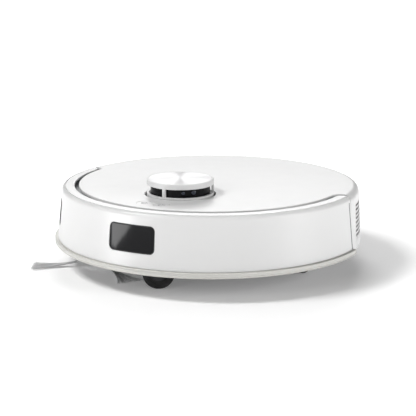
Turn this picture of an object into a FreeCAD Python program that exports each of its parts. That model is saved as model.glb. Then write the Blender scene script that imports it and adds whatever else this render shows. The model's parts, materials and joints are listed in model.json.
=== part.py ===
import FreeCAD, Part
import math
import os

# Round robot vacuum cleaner with a laser turret, a sprung front bumper and a lift-off top cover.
# Millimetres. Origin on the floor under the body's axis, +Z up, the front faces -Y, +X is the robot's left.
# A bearing is an angle in degrees seen from above: 0 at the front, positive towards +X.

from FreeCAD import Placement, Rotation, Vector

# ---- driving dimensions: body ----
BODY_R = 175.0             # widest radius, on the bumper's foot strip
COVER_TOP = 89.8           # upper face of the top cover
TURRET_TOP = 106.7         # highest point of the robot
SKIN = 2.5                 # wall of the outer mouldings
UNDERSIDE = 12.0           # ground clearance of the chassis
FLOOR_SKIN = 3.0           # thickness of the chassis floor
CHASSIS_R = 160.0
FLOOR_R = 124.0            # flat part of the underside; outside it the underside rises as a cone
CONE_TOP = 25.6            # where the cone meets the chassis wall
CHASSIS_TOP = 78.5
DECK_TOP = 81.5

# ---- driving dimensions: bumper ----
BUMPER_END = 92.0          # bearing of each end of the bumper
STRIP_LOW = 25.7
STRIP_TOP = 31.8
BUMPER_FOOT_R = 171.8
BUMPER_DRAFT = 0.1         # radius lost per millimetre of height
SHOULDER_Z = 83.4
CREASE_R = 162.0           # where the shoulder meets the flange
FLANGE_R = 152.3           # inner edge of the flange
FLANGE_TOP = 88.9
WINDOW_LOW = 46.9
WINDOW_HIGH = 76.1
WINDOW_HALF = 26.7
WINDOW_BEARING = -0.7
SIDE_WINDOW_HALF = 20.5
SIDE_WINDOW_BEARING = -56.0

# ---- driving dimensions: top cover ----
COVER_END = 93.5           # bearing where the full-width rear of the cover starts
COVER_FRONT_R = 147.5
COVER_FOOT_R = 168.3
COVER_FOOT_Z = 26.5
COVER_WALL_R = 165.8
COVER_SHOULDER = 8.5
BUTTON_X = 10.4
BUTTON_Y = -127.4
BUTTON_R = 8.4
VENT_ROWS = 8
VENT_PITCH = 4.7
VENT_SLOT = 2.3
VENT_LOW = 41.2            # middle of the lowest slot
VENT_FROM, VENT_TO = 99.5, 119.0
MAGNET_AT = 134.0          # radius at which the cover's magnets sit
MAGNET_R = 6.0
MAGNET_BEARINGS = (38, 128, -128, -38)

# ---- driving dimensions: turret ----
TURRET_Y = -69.3
CAGE_R = 36.2
CAGE_INNER_R = 33.5
TURRET_HOLE_R = 38.3
BAND_LOW, BAND_HIGH = 91.9, 100.8
HEAD_R = 32.0
LENS_BEARING = 46.5
LIDAR_MOTOR_X = 46.0
HEAD_PULLEY_R = 27.0
LIDAR_PULLEY_R = 5.4
TRAY_LOW = 62.5
LIDAR_BELT_LOW, LIDAR_BELT_HIGH = 66.5, 69.5
BELT = 1.4                 # thickness of both drive belts

# ---- driving dimensions: running gear ----
WHEEL_X = 110.0
WHEEL_R = 35.0
TYRE_WIDTH = 20.0
RIM_R = 27.0
PIVOT_Y, PIVOT_Z = -57.0, 40.0
ARM_IN, ARM_OUT = 87.0, 99.0
WHEEL_MOTOR_R = 12.0
CASTER_Y = -132.5
CASTER_R = 17.0
CASTER_WIDTH = 13.0
CASTER_TRAIL = 8.0
CASTER_HEADING = 28.3      # degrees from +X towards +Y in which the caster trails
CASTER_SOCKET_R = 25.8

# ---- driving dimensions: brushes, dust path ----
SIDE_BRUSH_R = 127.6
SIDE_BRUSH_BEARING = -45.6
BRISTLE_R = 78.0
BRISTLE_START = 58.5       # bearing of the first tuft
ROLLER_Y, ROLLER_Z, ROLLER_R = -14.5, 24.0, 20.0
ROLLER_PULLEY_R = 10.0
BRUSH_MOTOR_Y, BRUSH_MOTOR_Z = 27.0, 28.0
BRUSH_PULLEY_R = 5.0
BRUSH_BELT_IN, BRUSH_BELT_OUT = 80.6, 83.8
HOUSING_LEFT, HOUSING_RIGHT = 80.0, -84.0
HOUSING_FRONT, HOUSING_BACK, HOUSING_TOP = -43.0, 14.0, 50.0
DUCT_X0, DUCT_X1, DUCT_Z0, DUCT_Z1 = -46.0, 6.0, 35.0, 61.0
BIN_X0, BIN_X1, BIN_Y0, BIN_R = -84.0, 40.0, 32.0, 151.0
BIN_LOW, BIN_HIGH = 17.0, 81.0
FAN_Y, FAN_Z, FAN_R = 80.0, 46.0, 26.0
EXHAUST_END = 143.0        # where the exhaust duct stops, inside the cover's vent
BATTERY_X, BATTERY_Y0, BATTERY_Y1 = 58.0, -101.5, -60.0
RUNNING = 0.05             # radial clearance of every shaft in its bore

X_AXIS, Y_AXIS, Z_AXIS = Vector(1, 0, 0), Vector(0, 1, 0), Vector(0, 0, 1)


# ---- helpers ----
def polar(radius, bearing, z=0.0):
    """Point at a radius and bearing from the body's axis."""
    a = math.radians(bearing)
    return Vector(radius * math.sin(a), -radius * math.cos(a), z)


def box(x0, x1, y0, y1, z0, z1):
    low = Vector(min(x0, x1), min(y0, y1), min(z0, z1))
    return Part.makeBox(abs(x1 - x0), abs(y1 - y0), abs(z1 - z0), low)


def disc(radius, z0, z1, x=0.0, y=0.0):
    return Part.makeCylinder(radius, z1 - z0, Vector(x, y, z0), Z_AXIS)


def ring(outer, inner, z0, z1, x=0.0, y=0.0):
    return disc(outer, z0, z1, x, y).cut(disc(inner, z0 - 1, z1 + 1, x, y))


def rod(radius, x0, x1, y, z):
    """Cylinder along X."""
    return Part.makeCylinder(radius, abs(x1 - x0), Vector(min(x0, x1), y, z), X_AXIS)


def tube(outer, inner, x0, x1, y, z):
    """Hollow cylinder along X."""
    return rod(outer, x0, x1, y, z).cut(rod(inner, min(x0, x1) - 1, max(x0, x1) + 1, y, z))


def turned(shape, degrees, centre=Vector(0, 0, 0), axis=Z_AXIS):
    made = shape.copy()
    made.rotate(centre, axis, degrees)
    return made


def mirrored(shape):
    """The same piece on the other side of the robot."""
    return shape.mirror(Vector(0, 0, 0), X_AXIS)


def outline(start, *steps):
    """Closed wire through 2-D points (r, z) in the XZ plane. A step is one point, or two for an arc."""
    edges = []
    here = start
    for step in (*steps, (start,)):
        points = [Vector(p[0], 0, p[1]) for p in (here, *step)]
        if len(points) == 3:
            edges.append(Part.Arc(*points).toShape())
        elif (points[1] - points[0]).Length > 1e-6:
            edges.append(Part.LineSegment(*points).toShape())
        here = step[-1]
    return Part.Wire(edges)


def revolved(wire, start=0.0, end=360.0):
    """The profile turned about Z from one bearing to another."""
    shape = Part.Face(wire).revolve(Vector(0, 0, 0), Z_AXIS, end - start)
    return turned(shape, start - 90)


def sector(radius, start, end, z0, z1):
    """Wedge of a cylinder between two bearings."""
    wedge = Part.makeCylinder(radius, z1 - z0, Vector(0, 0, z0), Z_AXIS, end - start)
    return turned(wedge, start - 90)


def arc_block(outer, inner, start, end, z0, z1):
    """Piece of a ring between two bearings."""
    return sector(outer, start, end, z0, z1).cut(disc(inner, z0 - 1, z1 + 1))


def rounded_plate(half_x, half_y, corner, thickness):
    """Upright rounded rectangle centred on the origin, rising from z = 0."""
    plate = Part.makeBox(2 * half_x, 2 * half_y, thickness, Vector(-half_x, -half_y, 0))
    upright = [e for e in plate.Edges if abs(e.tangentAt(e.FirstParameter).z) > 0.99]
    return plate.makeFillet(corner, upright)


def stadium(r1, r2, distance, z0, z1):
    """Belt-shaped prism round two circles, the second at +X from the first, tangent lines between."""
    lean = math.asin((r1 - r2) / distance)
    up1 = Vector(r1 * math.sin(lean), r1 * math.cos(lean), z0)
    up2 = Vector(distance + r2 * math.sin(lean), r2 * math.cos(lean), z0)
    down1, down2 = Vector(up1.x, -up1.y, z0), Vector(up2.x, -up2.y, z0)
    wire = Part.Wire([
        Part.LineSegment(up1, up2).toShape(),
        Part.Arc(up2, Vector(distance + r2, 0, z0), down2).toShape(),
        Part.LineSegment(down2, down1).toShape(),
        Part.Arc(down1, Vector(-r1, 0, z0), up1).toShape(),
    ])
    return Part.Face(wire).extrude(Vector(0, 0, z1 - z0))


def stood(shape, start, degrees):
    """Stands a flat piece on end: it runs from the start in the YZ plane, its thickness along +X."""
    made = shape.copy()
    made.Placement = Placement(start, Rotation(Y_AXIS, Z_AXIS, X_AXIS, "ZXY"))
    return turned(made, degrees, start, X_AXIS)


def edges_at(shape, z, keep):
    """Edges lying wholly at height z whose middle point passes the test."""
    found = []
    for e in shape.Edges:
        b = e.BoundBox
        if abs(b.ZMin - z) < 1e-4 and abs(b.ZMax - z) < 1e-4:
            middle = e.valueAt((e.FirstParameter + e.LastParameter) / 2)
            if keep(middle):
                found.append(e)
    return found


def upright_edges(shape, test):
    """Vertical straight edges whose middle point passes the test."""
    found = []
    for e in shape.Edges:
        b = e.BoundBox
        if b.XLength < 1e-4 and b.YLength < 1e-4 and b.ZLength > 0.5 and test(b.Center):
            found.append(e)
    return found


def radius_of(point):
    return math.hypot(point.x, point.y)


def bumper_r(z):
    """Outer radius of the bumper's wall at a height."""
    return BUMPER_FOOT_R - BUMPER_DRAFT * (z - STRIP_TOP)


def window_prism(half_width, gap):
    """Rounded block that cuts a window through the bumper at the front."""
    middle = (WINDOW_LOW + WINDOW_HIGH) / 2
    plate = rounded_plate(half_width - gap, (WINDOW_HIGH - WINDOW_LOW) / 2 - gap, 5.5, 30)
    plate.rotate(Vector(0, 0, 0), X_AXIS, 90)
    plate.translate(Vector(0, -150, middle))
    return plate


# ---- bumper ----
def bumper_shell():
    inner_foot = BUMPER_FOOT_R - SKIN
    wall_top = bumper_r(SHOULDER_Z)
    wire = outline(
        (BUMPER_FOOT_R, STRIP_TOP),
        ((wall_top, SHOULDER_Z),),
        ((CREASE_R + 3.2, FLANGE_TOP - 1.8), (CREASE_R, FLANGE_TOP)),
        ((FLANGE_R, FLANGE_TOP + 0.3),),
        ((FLANGE_R, FLANGE_TOP - SKIN),),
        ((CREASE_R - 0.6, FLANGE_TOP - SKIN),),
        ((wall_top - SKIN, SHOULDER_Z),),
        ((inner_foot, STRIP_TOP),),
    )
    shell = revolved(wire, -BUMPER_END, BUMPER_END)
    corners = upright_edges(shell, lambda p: radius_of(p) < FLANGE_R + 1)
    shell = shell.makeFillet(6.0, corners)
    shell = shell.cut(turned(window_prism(WINDOW_HALF, 0), WINDOW_BEARING))
    return shell.cut(turned(window_prism(SIDE_WINDOW_HALF, 0), SIDE_WINDOW_BEARING))


def bumper_strip():
    seat = BUMPER_FOOT_R - SKIN
    wire = outline(
        (163.9, STRIP_LOW),
        ((172.6, STRIP_LOW),),
        ((BODY_R - 0.5, STRIP_LOW + 0.9), (BODY_R, STRIP_LOW + 2.4)),
        ((BODY_R, STRIP_TOP - 1.2),),
        ((BODY_R - 0.4, STRIP_TOP - 0.4), (BODY_R - 1.2, STRIP_TOP)),
        ((seat, STRIP_TOP),),
        ((seat, STRIP_LOW + SKIN),),
        ((163.9, STRIP_LOW + SKIN),),
    )
    return revolved(wire, -BUMPER_END, BUMPER_END)


def window_pane(half_width, bearing):
    band = outline(
        (bumper_r(40), 40),
        ((bumper_r(78), 78),),
        ((bumper_r(78) - SKIN, 78),),
        ((bumper_r(40) - SKIN, 40),),
    )
    pane = revolved(band, -12, 12).common(window_prism(half_width, 0.15))
    return turned(pane, bearing)


# ---- top cover and its buttons ----
def cover_outline_block():
    """Everything inside the cover's plan view: a small disc in front, a full-width sector behind."""
    plan = disc(COVER_FRONT_R, 0, 120).fuse(sector(190, COVER_END, 360 - COVER_END, 0, 120))
    plan = plan.removeSplitter()
    corners = upright_edges(plan, lambda p: abs(radius_of(p) - COVER_FRONT_R) < 0.5)
    return plan.makeFillet(10.0, corners)


def top_cover():
    centre_r, centre_z = COVER_WALL_R - COVER_SHOULDER, COVER_TOP - COVER_SHOULDER
    inner = COVER_SHOULDER - SKIN
    outer_mid, inner_mid = COVER_SHOULDER * math.sqrt(0.5), inner * math.sqrt(0.5)
    wire = outline(
        (COVER_FOOT_R, COVER_FOOT_Z),
        ((COVER_WALL_R, centre_z),),
        ((centre_r + outer_mid, centre_z + outer_mid), (centre_r, COVER_TOP)),
        ((0, COVER_TOP),),
        ((0, COVER_TOP - SKIN),),
        ((centre_r, COVER_TOP - SKIN),),
        ((centre_r + inner_mid, centre_z + inner_mid), (centre_r + inner, centre_z)),
        ((COVER_FOOT_R - SKIN, COVER_FOOT_Z),),
    )
    cover = revolved(wire).common(cover_outline_block())
    rim = edges_at(cover, COVER_TOP, lambda p: radius_of(p) < 170)
    cover = cover.makeFillet(0.8, rim)
    cover = cover.cut(disc(TURRET_HOLE_R, 80, 95, 0, TURRET_Y))
    at_mouth = lambda p: abs(math.hypot(p.x, p.y - TURRET_Y) - TURRET_HOLE_R) < 0.1
    mouth = edges_at(cover, COVER_TOP, at_mouth)
    cover = cover.makeFillet(0.7, mouth)
    for side in (1, -1):
        cover = cover.cut(disc(BUTTON_R + 0.3, 80, 95, side * BUTTON_X, BUTTON_Y))
    for row in range(VENT_ROWS):
        low = VENT_LOW + row * VENT_PITCH - VENT_SLOT / 2
        cover = cover.cut(arc_block(180, 158, VENT_FROM, VENT_TO, low, low + VENT_SLOT))
    return cover


def cover_magnets():
    """Steel discs under the cover that the deck's magnets hold."""
    top = COVER_TOP - SKIN
    made = [disc(MAGNET_R, top - 1.5, top, *polar(MAGNET_AT, b)[:2]) for b in MAGNET_BEARINGS]
    return Part.makeCompound(made)


def button(side):
    x = side * BUTTON_X
    cap = disc(BUTTON_R, COVER_TOP - SKIN, COVER_TOP - 0.2, x, BUTTON_Y)
    cap = cap.makeFillet(0.5, edges_at(cap, COVER_TOP - 0.2, lambda p: True))
    flange = disc(BUTTON_R + 1.4, COVER_TOP - SKIN - 1.6, COVER_TOP - SKIN - 0.2, x, BUTTON_Y)
    neck = disc(BUTTON_R - 1, COVER_TOP - SKIN - 0.4, COVER_TOP - SKIN + 0.2, x, BUTTON_Y)
    return cap.fuse([neck, flange]).removeSplitter()


def button_board():
    """Small circuit board on the deck with one switch under each button."""
    board = rounded_plate(20, 7, 2, 1.2)
    board.translate(Vector(0, BUTTON_Y, DECK_TOP + 0.2))
    for side in (1, -1):
        board = board.fuse(disc(2.0, DECK_TOP + 1, DECK_TOP + 3.3, side * BUTTON_X, BUTTON_Y))
    return board


# ---- turret and laser scanner ----
def turret_cage():
    """Bumper cap of the turret: lower ring, three posts and the hollow cap in one moulding."""
    lower = ring(CAGE_R, CAGE_INNER_R, DECK_TOP + 2, BAND_LOW, 0, TURRET_Y)
    cap = disc(CAGE_R, BAND_HIGH, TURRET_TOP, 0, TURRET_Y)
    cap = cap.makeFillet(1.3, edges_at(cap, TURRET_TOP, lambda p: True))
    cap = cap.cut(disc(CAGE_INNER_R, BAND_HIGH - 1, TURRET_TOP - 3, 0, TURRET_Y))
    cap = cap.cut(disc(CAGE_R - 2, TURRET_TOP - 0.6, TURRET_TOP + 1, 0, TURRET_Y))
    wall = ring(CAGE_R, CAGE_INNER_R, BAND_LOW - 1, BAND_HIGH + 1, 0, TURRET_Y)
    bar = box(-1.8, 1.8, TURRET_Y - CAGE_R - 1, TURRET_Y - 20, BAND_LOW - 1, BAND_HIGH + 1)
    bars = [turned(bar, a, Vector(0, TURRET_Y, 0)) for a in (0, 120, 240)]
    posts = [wall.common(b) for b in bars]
    return lower.fuse([cap, *posts]).removeSplitter()


def turret_top_disc():
    plate = disc(CAGE_R - 2.15, TURRET_TOP - 0.6, TURRET_TOP, 0, TURRET_Y)
    return plate.makeFillet(0.25, edges_at(plate, TURRET_TOP, lambda p: True))


def lidar_facet():
    """Half-space block that trims the scanner drum flat where its lenses look out."""
    block = box(-20, 20, -HEAD_R - 5, -HEAD_R + 2.5, BAND_LOW + 1, BAND_HIGH - 1.6)
    block = turned(block, LENS_BEARING)
    block.translate(Vector(0, TURRET_Y, 0))
    return block


def lidar_head():
    drum = disc(HEAD_R, BAND_LOW - 0.5, BAND_HIGH - 0.4, 0, TURRET_Y).cut(lidar_facet())
    shaft = disc(11, LIDAR_BELT_HIGH - 1, BAND_LOW, 0, TURRET_Y)
    pulley = disc(HEAD_PULLEY_R, LIDAR_BELT_LOW, LIDAR_BELT_HIGH, 0, TURRET_Y)
    journal = disc(6, TRAY_LOW + 0.5, LIDAR_BELT_LOW + 1, 0, TURRET_Y)
    return drum.fuse([shaft, pulley, journal]).removeSplitter()


def lidar_lenses():
    """Laser outlet and receiver lens on the drum's facet."""
    made = []
    for across, radius in ((-6.0, 2.2), (5.5, 2.7)):
        seat = Vector(across, -HEAD_R + 2.5, (BAND_LOW + BAND_HIGH) / 2)
        lens = Part.makeCylinder(radius, 1.0, seat, Vector(0, -1, 0))
        front = [e for e in lens.Edges if abs(e.BoundBox.YMin - (-HEAD_R + 1.5)) < 1e-3]
        front = [e for e in front if e.BoundBox.YLength < 1e-3]
        lens = lens.makeFillet(0.6, front)
        lens = turned(lens, LENS_BEARING)
        lens.translate(Vector(0, TURRET_Y, 0))
        made.append(lens)
    return Part.makeCompound(made)


def lidar_base():
    """Keyhole tray under the deck with the collar that closes the turret's inside."""
    outer = stadium(35, 15, LIDAR_MOTOR_X, TRAY_LOW, CHASSIS_TOP - 0.1)
    inner = stadium(33, 13, LIDAR_MOTOR_X, TRAY_LOW + 2, CHASSIS_TOP + 1)
    tray = outer.cut(inner)
    tray = tray.cut(disc(6 + RUNNING, TRAY_LOW - 1, TRAY_LOW + 3))
    collar = ring(33.0, 31.0, CHASSIS_TOP - 2, BAND_LOW - 1)
    bridge = ring(35.0, 32.0, CHASSIS_TOP - 3, CHASSIS_TOP - 0.1)
    tray = tray.fuse([collar, bridge])
    tray = tray.cut(disc(10.2, 70, 90, LIDAR_MOTOR_X, 0))
    tray.translate(Vector(0, TURRET_Y, 0))
    return tray.removeSplitter()


def lidar_motor():
    body = disc(10, 71.1, DECK_TOP, LIDAR_MOTOR_X, TURRET_Y)
    return body.makeFillet(1.2, edges_at(body, DECK_TOP, lambda p: True))


def lidar_motor_pulley():
    wheel = disc(LIDAR_PULLEY_R, LIDAR_BELT_LOW, LIDAR_BELT_HIGH, LIDAR_MOTOR_X, TURRET_Y)
    flange = disc(LIDAR_PULLEY_R + 1.6, LIDAR_BELT_HIGH, LIDAR_BELT_HIGH + 0.8, LIDAR_MOTOR_X, TURRET_Y)
    return wheel.fuse(flange)


def lidar_belt():
    gap = 0.05
    outer = stadium(HEAD_PULLEY_R + BELT, LIDAR_PULLEY_R + BELT, LIDAR_MOTOR_X,
                    LIDAR_BELT_LOW + 0.2, LIDAR_BELT_HIGH - 0.2)
    inner = stadium(HEAD_PULLEY_R + gap, LIDAR_PULLEY_R + gap, LIDAR_MOTOR_X,
                    LIDAR_BELT_LOW, LIDAR_BELT_HIGH)
    belt = outer.cut(inner)
    belt.translate(Vector(0, TURRET_Y, 0))
    return belt


def turret_springs():
    """Three short coil springs that hold the turret cap up, as plain sleeves."""
    made = []
    for a in (60, 180, 300):
        spot = polar((CAGE_R + CAGE_INNER_R) / 2, a)
        made.append(ring(1.2, 0.7, DECK_TOP, DECK_TOP + 2, spot.x, spot.y + TURRET_Y))
    return Part.makeCompound(made)


# ---- chassis, deck and fixed internals ----
def both_sides(shape):
    return Part.makeCompound([shape, mirrored(shape)])


def underside(gap):
    """Everything below the chassis's outer surface, raised by a gap."""
    reach = 200
    slope = (CONE_TOP - UNDERSIDE) / (CHASSIS_R - FLOOR_R)
    edge = UNDERSIDE + (reach - FLOOR_R) * slope + gap
    wire = outline(
        (0, -5),
        ((reach, -5),),
        ((reach, edge),),
        ((FLOOR_R, UNDERSIDE + gap),),
        ((0, UNDERSIDE + gap),),
    )
    return revolved(wire)


def screw_spots():
    """Places of the chassis screws, clear of every opening of the flat floor."""
    spots = [Vector(0, 112, 0)]
    for side in (1, -1):
        spots.append(Vector(side * 66, -98, 0))
        spots.append(Vector(side * 60, 98, 0))
        spots.append(Vector(side * 40, 24, 0))
    return spots


def cliff_spots():
    return [(146.5, b) for b in (20, -20, 54, -66)]


def chassis_openings():
    cuts = [
        disc(CASTER_SOCKET_R + 2.1, 0, 32, 0, CASTER_Y),
        box(-16, 16, -165, -148, 0, 42),
        box(HOUSING_RIGHT - 1, -HOUSING_RIGHT + 1, HOUSING_FRONT - 1, HOUSING_BACK + 1, 0, 20),
        box(-BATTERY_X - 2, BATTERY_X + 2, BATTERY_Y0 - 2, BATTERY_Y1 + 2, 0, 20),
        disc(6, 0, 15.2, *polar(SIDE_BRUSH_R, SIDE_BRUSH_BEARING)[:2]),
        disc(13.9, UNDERSIDE + FLOOR_SKIN + 0.2, 60, *polar(SIDE_BRUSH_R, SIDE_BRUSH_BEARING)[:2]),
        box(-24, 24, -165, -150, 48.5, 74.5),
        arc_block(162, 150, VENT_FROM + 1, VENT_TO - 1, VENT_LOW - 6, VENT_LOW + 7 * VENT_PITCH),
    ]
    for side in (1, -1):
        cuts.append(box(side * 85, side * 123.5, -42, 40.5, 0, 20))
        cuts.append(box(side * 85, side * 100.5, -72, 0, 0, 20))
        cuts.append(box(side * 17, side * 39, 103.5, 112.5, 0, 13.3))
        cuts.append(Part.makeCylinder(4.5, 20, Vector(side * 60, -160, 58), Y_AXIS))
    for spot in screw_spots():
        cuts.append(disc(3.6, 0, 14.2, spot.x, spot.y))
        cuts.append(disc(1.5, 0, 20, spot.x, spot.y))
    for radius, bearing in cliff_spots():
        cuts.append(turned(box(-7, 7, -radius - 3, -radius + 3, 0, 34), bearing))
    return cuts


def chassis():
    inside = CHASSIS_R - SKIN
    floor = UNDERSIDE + FLOOR_SKIN
    wire = outline(
        (0, UNDERSIDE),
        ((FLOOR_R, UNDERSIDE),),
        ((CHASSIS_R, CONE_TOP),),
        ((CHASSIS_R, CHASSIS_TOP),),
        ((inside, CHASSIS_TOP),),
        ((inside, CONE_TOP + FLOOR_SKIN - 0.6),),
        ((FLOOR_R - 0.6, floor),),
        ((0, floor),),
    )
    brush = polar(SIDE_BRUSH_R, SIDE_BRUSH_BEARING)
    boss = disc(16.4, UNDERSIDE, 30, brush.x, brush.y).cut(box(-130, -60, -73.8, -50, 0, 40))
    return revolved(wire).fuse(boss).cut(chassis_openings())


def bin_outline(grow, z0, z1):
    """The dust bin's plan view, grown by a clearance."""
    block = box(BIN_X0 - grow, BIN_X1 + grow, BIN_Y0 - grow, 160, z0, z1)
    return block.common(disc(BIN_R + grow, z0, z1))


def deck():
    plate = disc(CHASSIS_R, CHASSIS_TOP, DECK_TOP)
    plate = plate.makeFillet(1.0, edges_at(plate, DECK_TOP, lambda p: True))
    plate = plate.cut(disc(33.3, 70, 90, 0, TURRET_Y))
    plate = plate.cut(disc(10.6, 70, 90, LIDAR_MOTOR_X, TURRET_Y))
    plate = plate.cut(bin_outline(0.8, 70, 90))
    for bearing in MAGNET_BEARINGS:
        spot = polar(MAGNET_AT, bearing)
        plate = plate.fuse(disc(MAGNET_R + 1.5, DECK_TOP - 1, DECK_TOP + 1.6, spot.x, spot.y))
    return plate.removeSplitter()


def deck_magnets():
    base = DECK_TOP + 1.6
    made = [disc(MAGNET_R, base, base + 1.6, *polar(MAGNET_AT, b)[:2]) for b in MAGNET_BEARINGS]
    return Part.makeCompound(made)


def wheel_housings():
    wall = 1.8
    x0, x1, y0, y1, top = 84.6, 124.4, -73.5, 42.6, 76.0
    cup = box(x0, x1, y0, y1, UNDERSIDE + FLOOR_SKIN, top)
    cup = cup.cut(box(x0 + wall, x1 - wall, y0 + wall, y1 - wall, 0, top - wall))
    cup = cup.cut(rod(WHEEL_MOTOR_R + RUNNING, x0 - 1, x0 + wall + 1, PIVOT_Y, PIVOT_Z))
    cup = cup.cut(rod(3 + RUNNING, x1 - wall - 1, x1 + 1, PIVOT_Y, PIVOT_Z))
    return both_sides(cup.cut(underside(FLOOR_SKIN + 0.4)))


def battery_pack():
    """Eight round cells in a shrink sleeve, four by two."""
    pitch, radius = 2 * (BATTERY_X - 1) / 6, 9.2
    pack = box(-BATTERY_X, BATTERY_X, BATTERY_Y0, BATTERY_Y1, 15.5, 54)
    long_edges = [e for e in pack.Edges if e.BoundBox.XLength > 100]
    pack = pack.makeFillet(radius, long_edges)
    grooves = [rod(1.0, -BATTERY_X, BATTERY_X, y, 54.6) for y in (BATTERY_Y0 + 22,)]
    for i in (-1, 1):
        seam = box(i * pitch - 0.4, i * pitch + 0.4, BATTERY_Y0 - 1, BATTERY_Y1 + 1, 53.6, 56)
        grooves.append(seam)
    return pack.cut(grooves)


def battery_door():
    door = rounded_plate(BATTERY_X + 1.7, (BATTERY_Y1 - BATTERY_Y0) / 2 + 1.7, 3, 2.4)
    door.translate(Vector(0, (BATTERY_Y0 + BATTERY_Y1) / 2, UNDERSIDE))
    for side in (1, -1):
        door = door.cut(disc(3.4, 0, UNDERSIDE + 1.2, side * 54, -81))
    return door


def main_board():
    """Control board over the brush housing with its chips, connectors and radio module."""
    board = rounded_plate(76, 27, 3, 1.6)
    board.translate(Vector(0, -4, 66))
    top = 67.6
    parts = [box(-12, 8, -14, 6, top, 69), box(22, 34, -8, 4, top, 69.2), box(-50, -28, -22, -8, top, 71)]
    for i in range(6):
        parts.append(box(-66 + i * 22, -52 + i * 22, 14, 21, top, 73))
    for i in range(3):
        parts.append(disc(4, top, 74, 48 + i * 10, -20))
    return board.fuse(parts).removeSplitter()


def speaker():
    spot = Vector(80, -104, 0)
    frame = disc(16, 44, 47, spot.x, spot.y)
    magnet = disc(10, 47, 58, spot.x, spot.y)
    cone = disc(13, 42, 44, spot.x, spot.y).cut(Part.makeCone(12, 4, 3, Vector(spot.x, spot.y, 41), Z_AXIS))
    return frame.fuse([magnet, cone]).removeSplitter()


def front_sensor_module():
    """Two cameras and a line laser on a bracket behind the bumper's window."""
    middle = (WINDOW_LOW + WINDOW_HIGH) / 2
    body = box(-22, 22, -157, -147, middle - 12, middle + 12)
    eyes = [Part.makeCylinder(4.2, 2.2, Vector(x, -157, middle), Vector(0, -1, 0)) for x in (-14, 14)]
    slot = box(-3, 3, -158.6, -156, middle - 3, middle + 3)
    return body.fuse([*eyes, slot]).removeSplitter()


def cliff_sensors():
    made = []
    for radius, bearing in cliff_spots():
        block = box(-6.8, 6.8, -radius - 2.8, -radius + 2.8, UNDERSIDE, 32)
        made.append(turned(block, bearing).cut(underside(0.3)))
    return Part.makeCompound(made)


def charging_contacts():
    plate = rounded_plate(10.8, 4.3, 1.5, 1.5)
    plate.translate(Vector(28, 108, UNDERSIDE - 0.3))
    return both_sides(plate)


def chassis_screws():
    made = []
    for spot in screw_spots():
        head = disc(3.2, UNDERSIDE + 0.4, UNDERSIDE + 2.1, spot.x, spot.y)
        cross = box(-2, 2, -0.45, 0.45, 0, UNDERSIDE + 1.3)
        cross = cross.fuse(turned(cross, 90))
        cross.translate(Vector(spot.x, spot.y, 0))
        shank = disc(1.4, UNDERSIDE + 2, UNDERSIDE + 4.5, spot.x, spot.y)
        made.append(head.fuse(shank).cut(cross))
    return Part.makeCompound(made)


def bumper_springs():
    """Two coil springs through the chassis wall that push the bumper out, as plain sleeves."""
    sleeve = Part.makeCylinder(3.6, 14.5, Vector(60, -152.9, 58), Y_AXIS)
    sleeve = sleeve.cut(Part.makeCylinder(2.8, 20, Vector(60, -155, 58), Y_AXIS))
    return both_sides(sleeve)


# ---- drive wheels ----
def wheel_arm():
    """Left gearbox arm: pivots at the front of its housing and carries the wheel's shaft."""
    reach = math.hypot(PIVOT_Y, PIVOT_Z - WHEEL_R)
    lean = math.degrees(math.atan2(PIVOT_Z - WHEEL_R, PIVOT_Y))
    plate = stood(stadium(16, 13.5, reach, 0, ARM_OUT - ARM_IN), Vector(ARM_IN, 0, WHEEL_R), lean)
    shaft = rod(4, ARM_OUT - 1, 118.5, 0, WHEEL_R)
    pin = rod(3, ARM_OUT - 1, 124.2, PIVOT_Y, PIVOT_Z)
    boss = rod(WHEEL_MOTOR_R, 85.0, ARM_IN + 1, PIVOT_Y, PIVOT_Z)
    return plate.fuse([shaft, pin, boss]).removeSplitter()


def wheel_motor():
    can = rod(WHEEL_MOTOR_R - 0.5, 62, 85, PIVOT_Y, PIVOT_Z)
    return can.fuse(rod(4, 60.5, 62.5, PIVOT_Y, PIVOT_Z)).removeSplitter()


def wheel_hub():
    inner, outer = WHEEL_X - TYRE_WIDTH / 2 + 1, WHEEL_X + TYRE_WIDTH / 2 - 1
    hub = rod(RIM_R, inner, outer, 0, WHEEL_R)
    hub = hub.cut(tube(RIM_R - 3, 9, outer - 4, outer + 1, 0, WHEEL_R))
    spoke = box(outer - 4, outer - 1, -2, 2, WHEEL_R + 8, WHEEL_R + RIM_R - 2)
    spokes = [turned(spoke, 72 * i, Vector(0, 0, WHEEL_R), X_AXIS) for i in range(5)]
    hub = hub.fuse(spokes)
    return hub.cut(rod(4 + RUNNING, inner - 1, outer + 1, 0, WHEEL_R)).removeSplitter()


def tyre():
    half = TYRE_WIDTH / 2
    band = tube(WHEEL_R, RIM_R, WHEEL_X - half, WHEEL_X + half, 0, WHEEL_R)
    rims = [e for e in band.Edges if abs(e.BoundBox.YLength - 2 * WHEEL_R) < 0.5]
    band = band.makeFillet(2.0, [e for e in rims if e.BoundBox.XLength < 0.1])
    grooves = []
    count = 24
    for i in range(count):
        lug = box(WHEEL_X - half - 1, WHEEL_X + half + 1, -1.1, 1.1, 2 * WHEEL_R - 1.6, 2 * WHEEL_R + 2)
        grooves.append(turned(lug, 360 * (i + 0.5) / count, Vector(0, 0, WHEEL_R), X_AXIS))
    return band.cut(grooves)


# ---- caster ----
def caster_socket():
    cup = ring(CASTER_SOCKET_R + 2, CASTER_SOCKET_R, UNDERSIDE, 40, 0, CASTER_Y)
    roof = ring(CASTER_SOCKET_R + 2, 4 + RUNNING, 38.4, 40.4, 0, CASTER_Y)
    sleeve = ring(7.5, 4 + RUNNING, 39, 49, 0, CASTER_Y)
    return cup.cut(underside(0)).fuse([roof, sleeve]).removeSplitter()


def at_caster(shape):
    """Turns a piece from its own frame, trailing along +X, to the caster's heading and place."""
    made = turned(shape, CASTER_HEADING)
    made.translate(Vector(0, CASTER_Y, 0))
    return made


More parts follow.
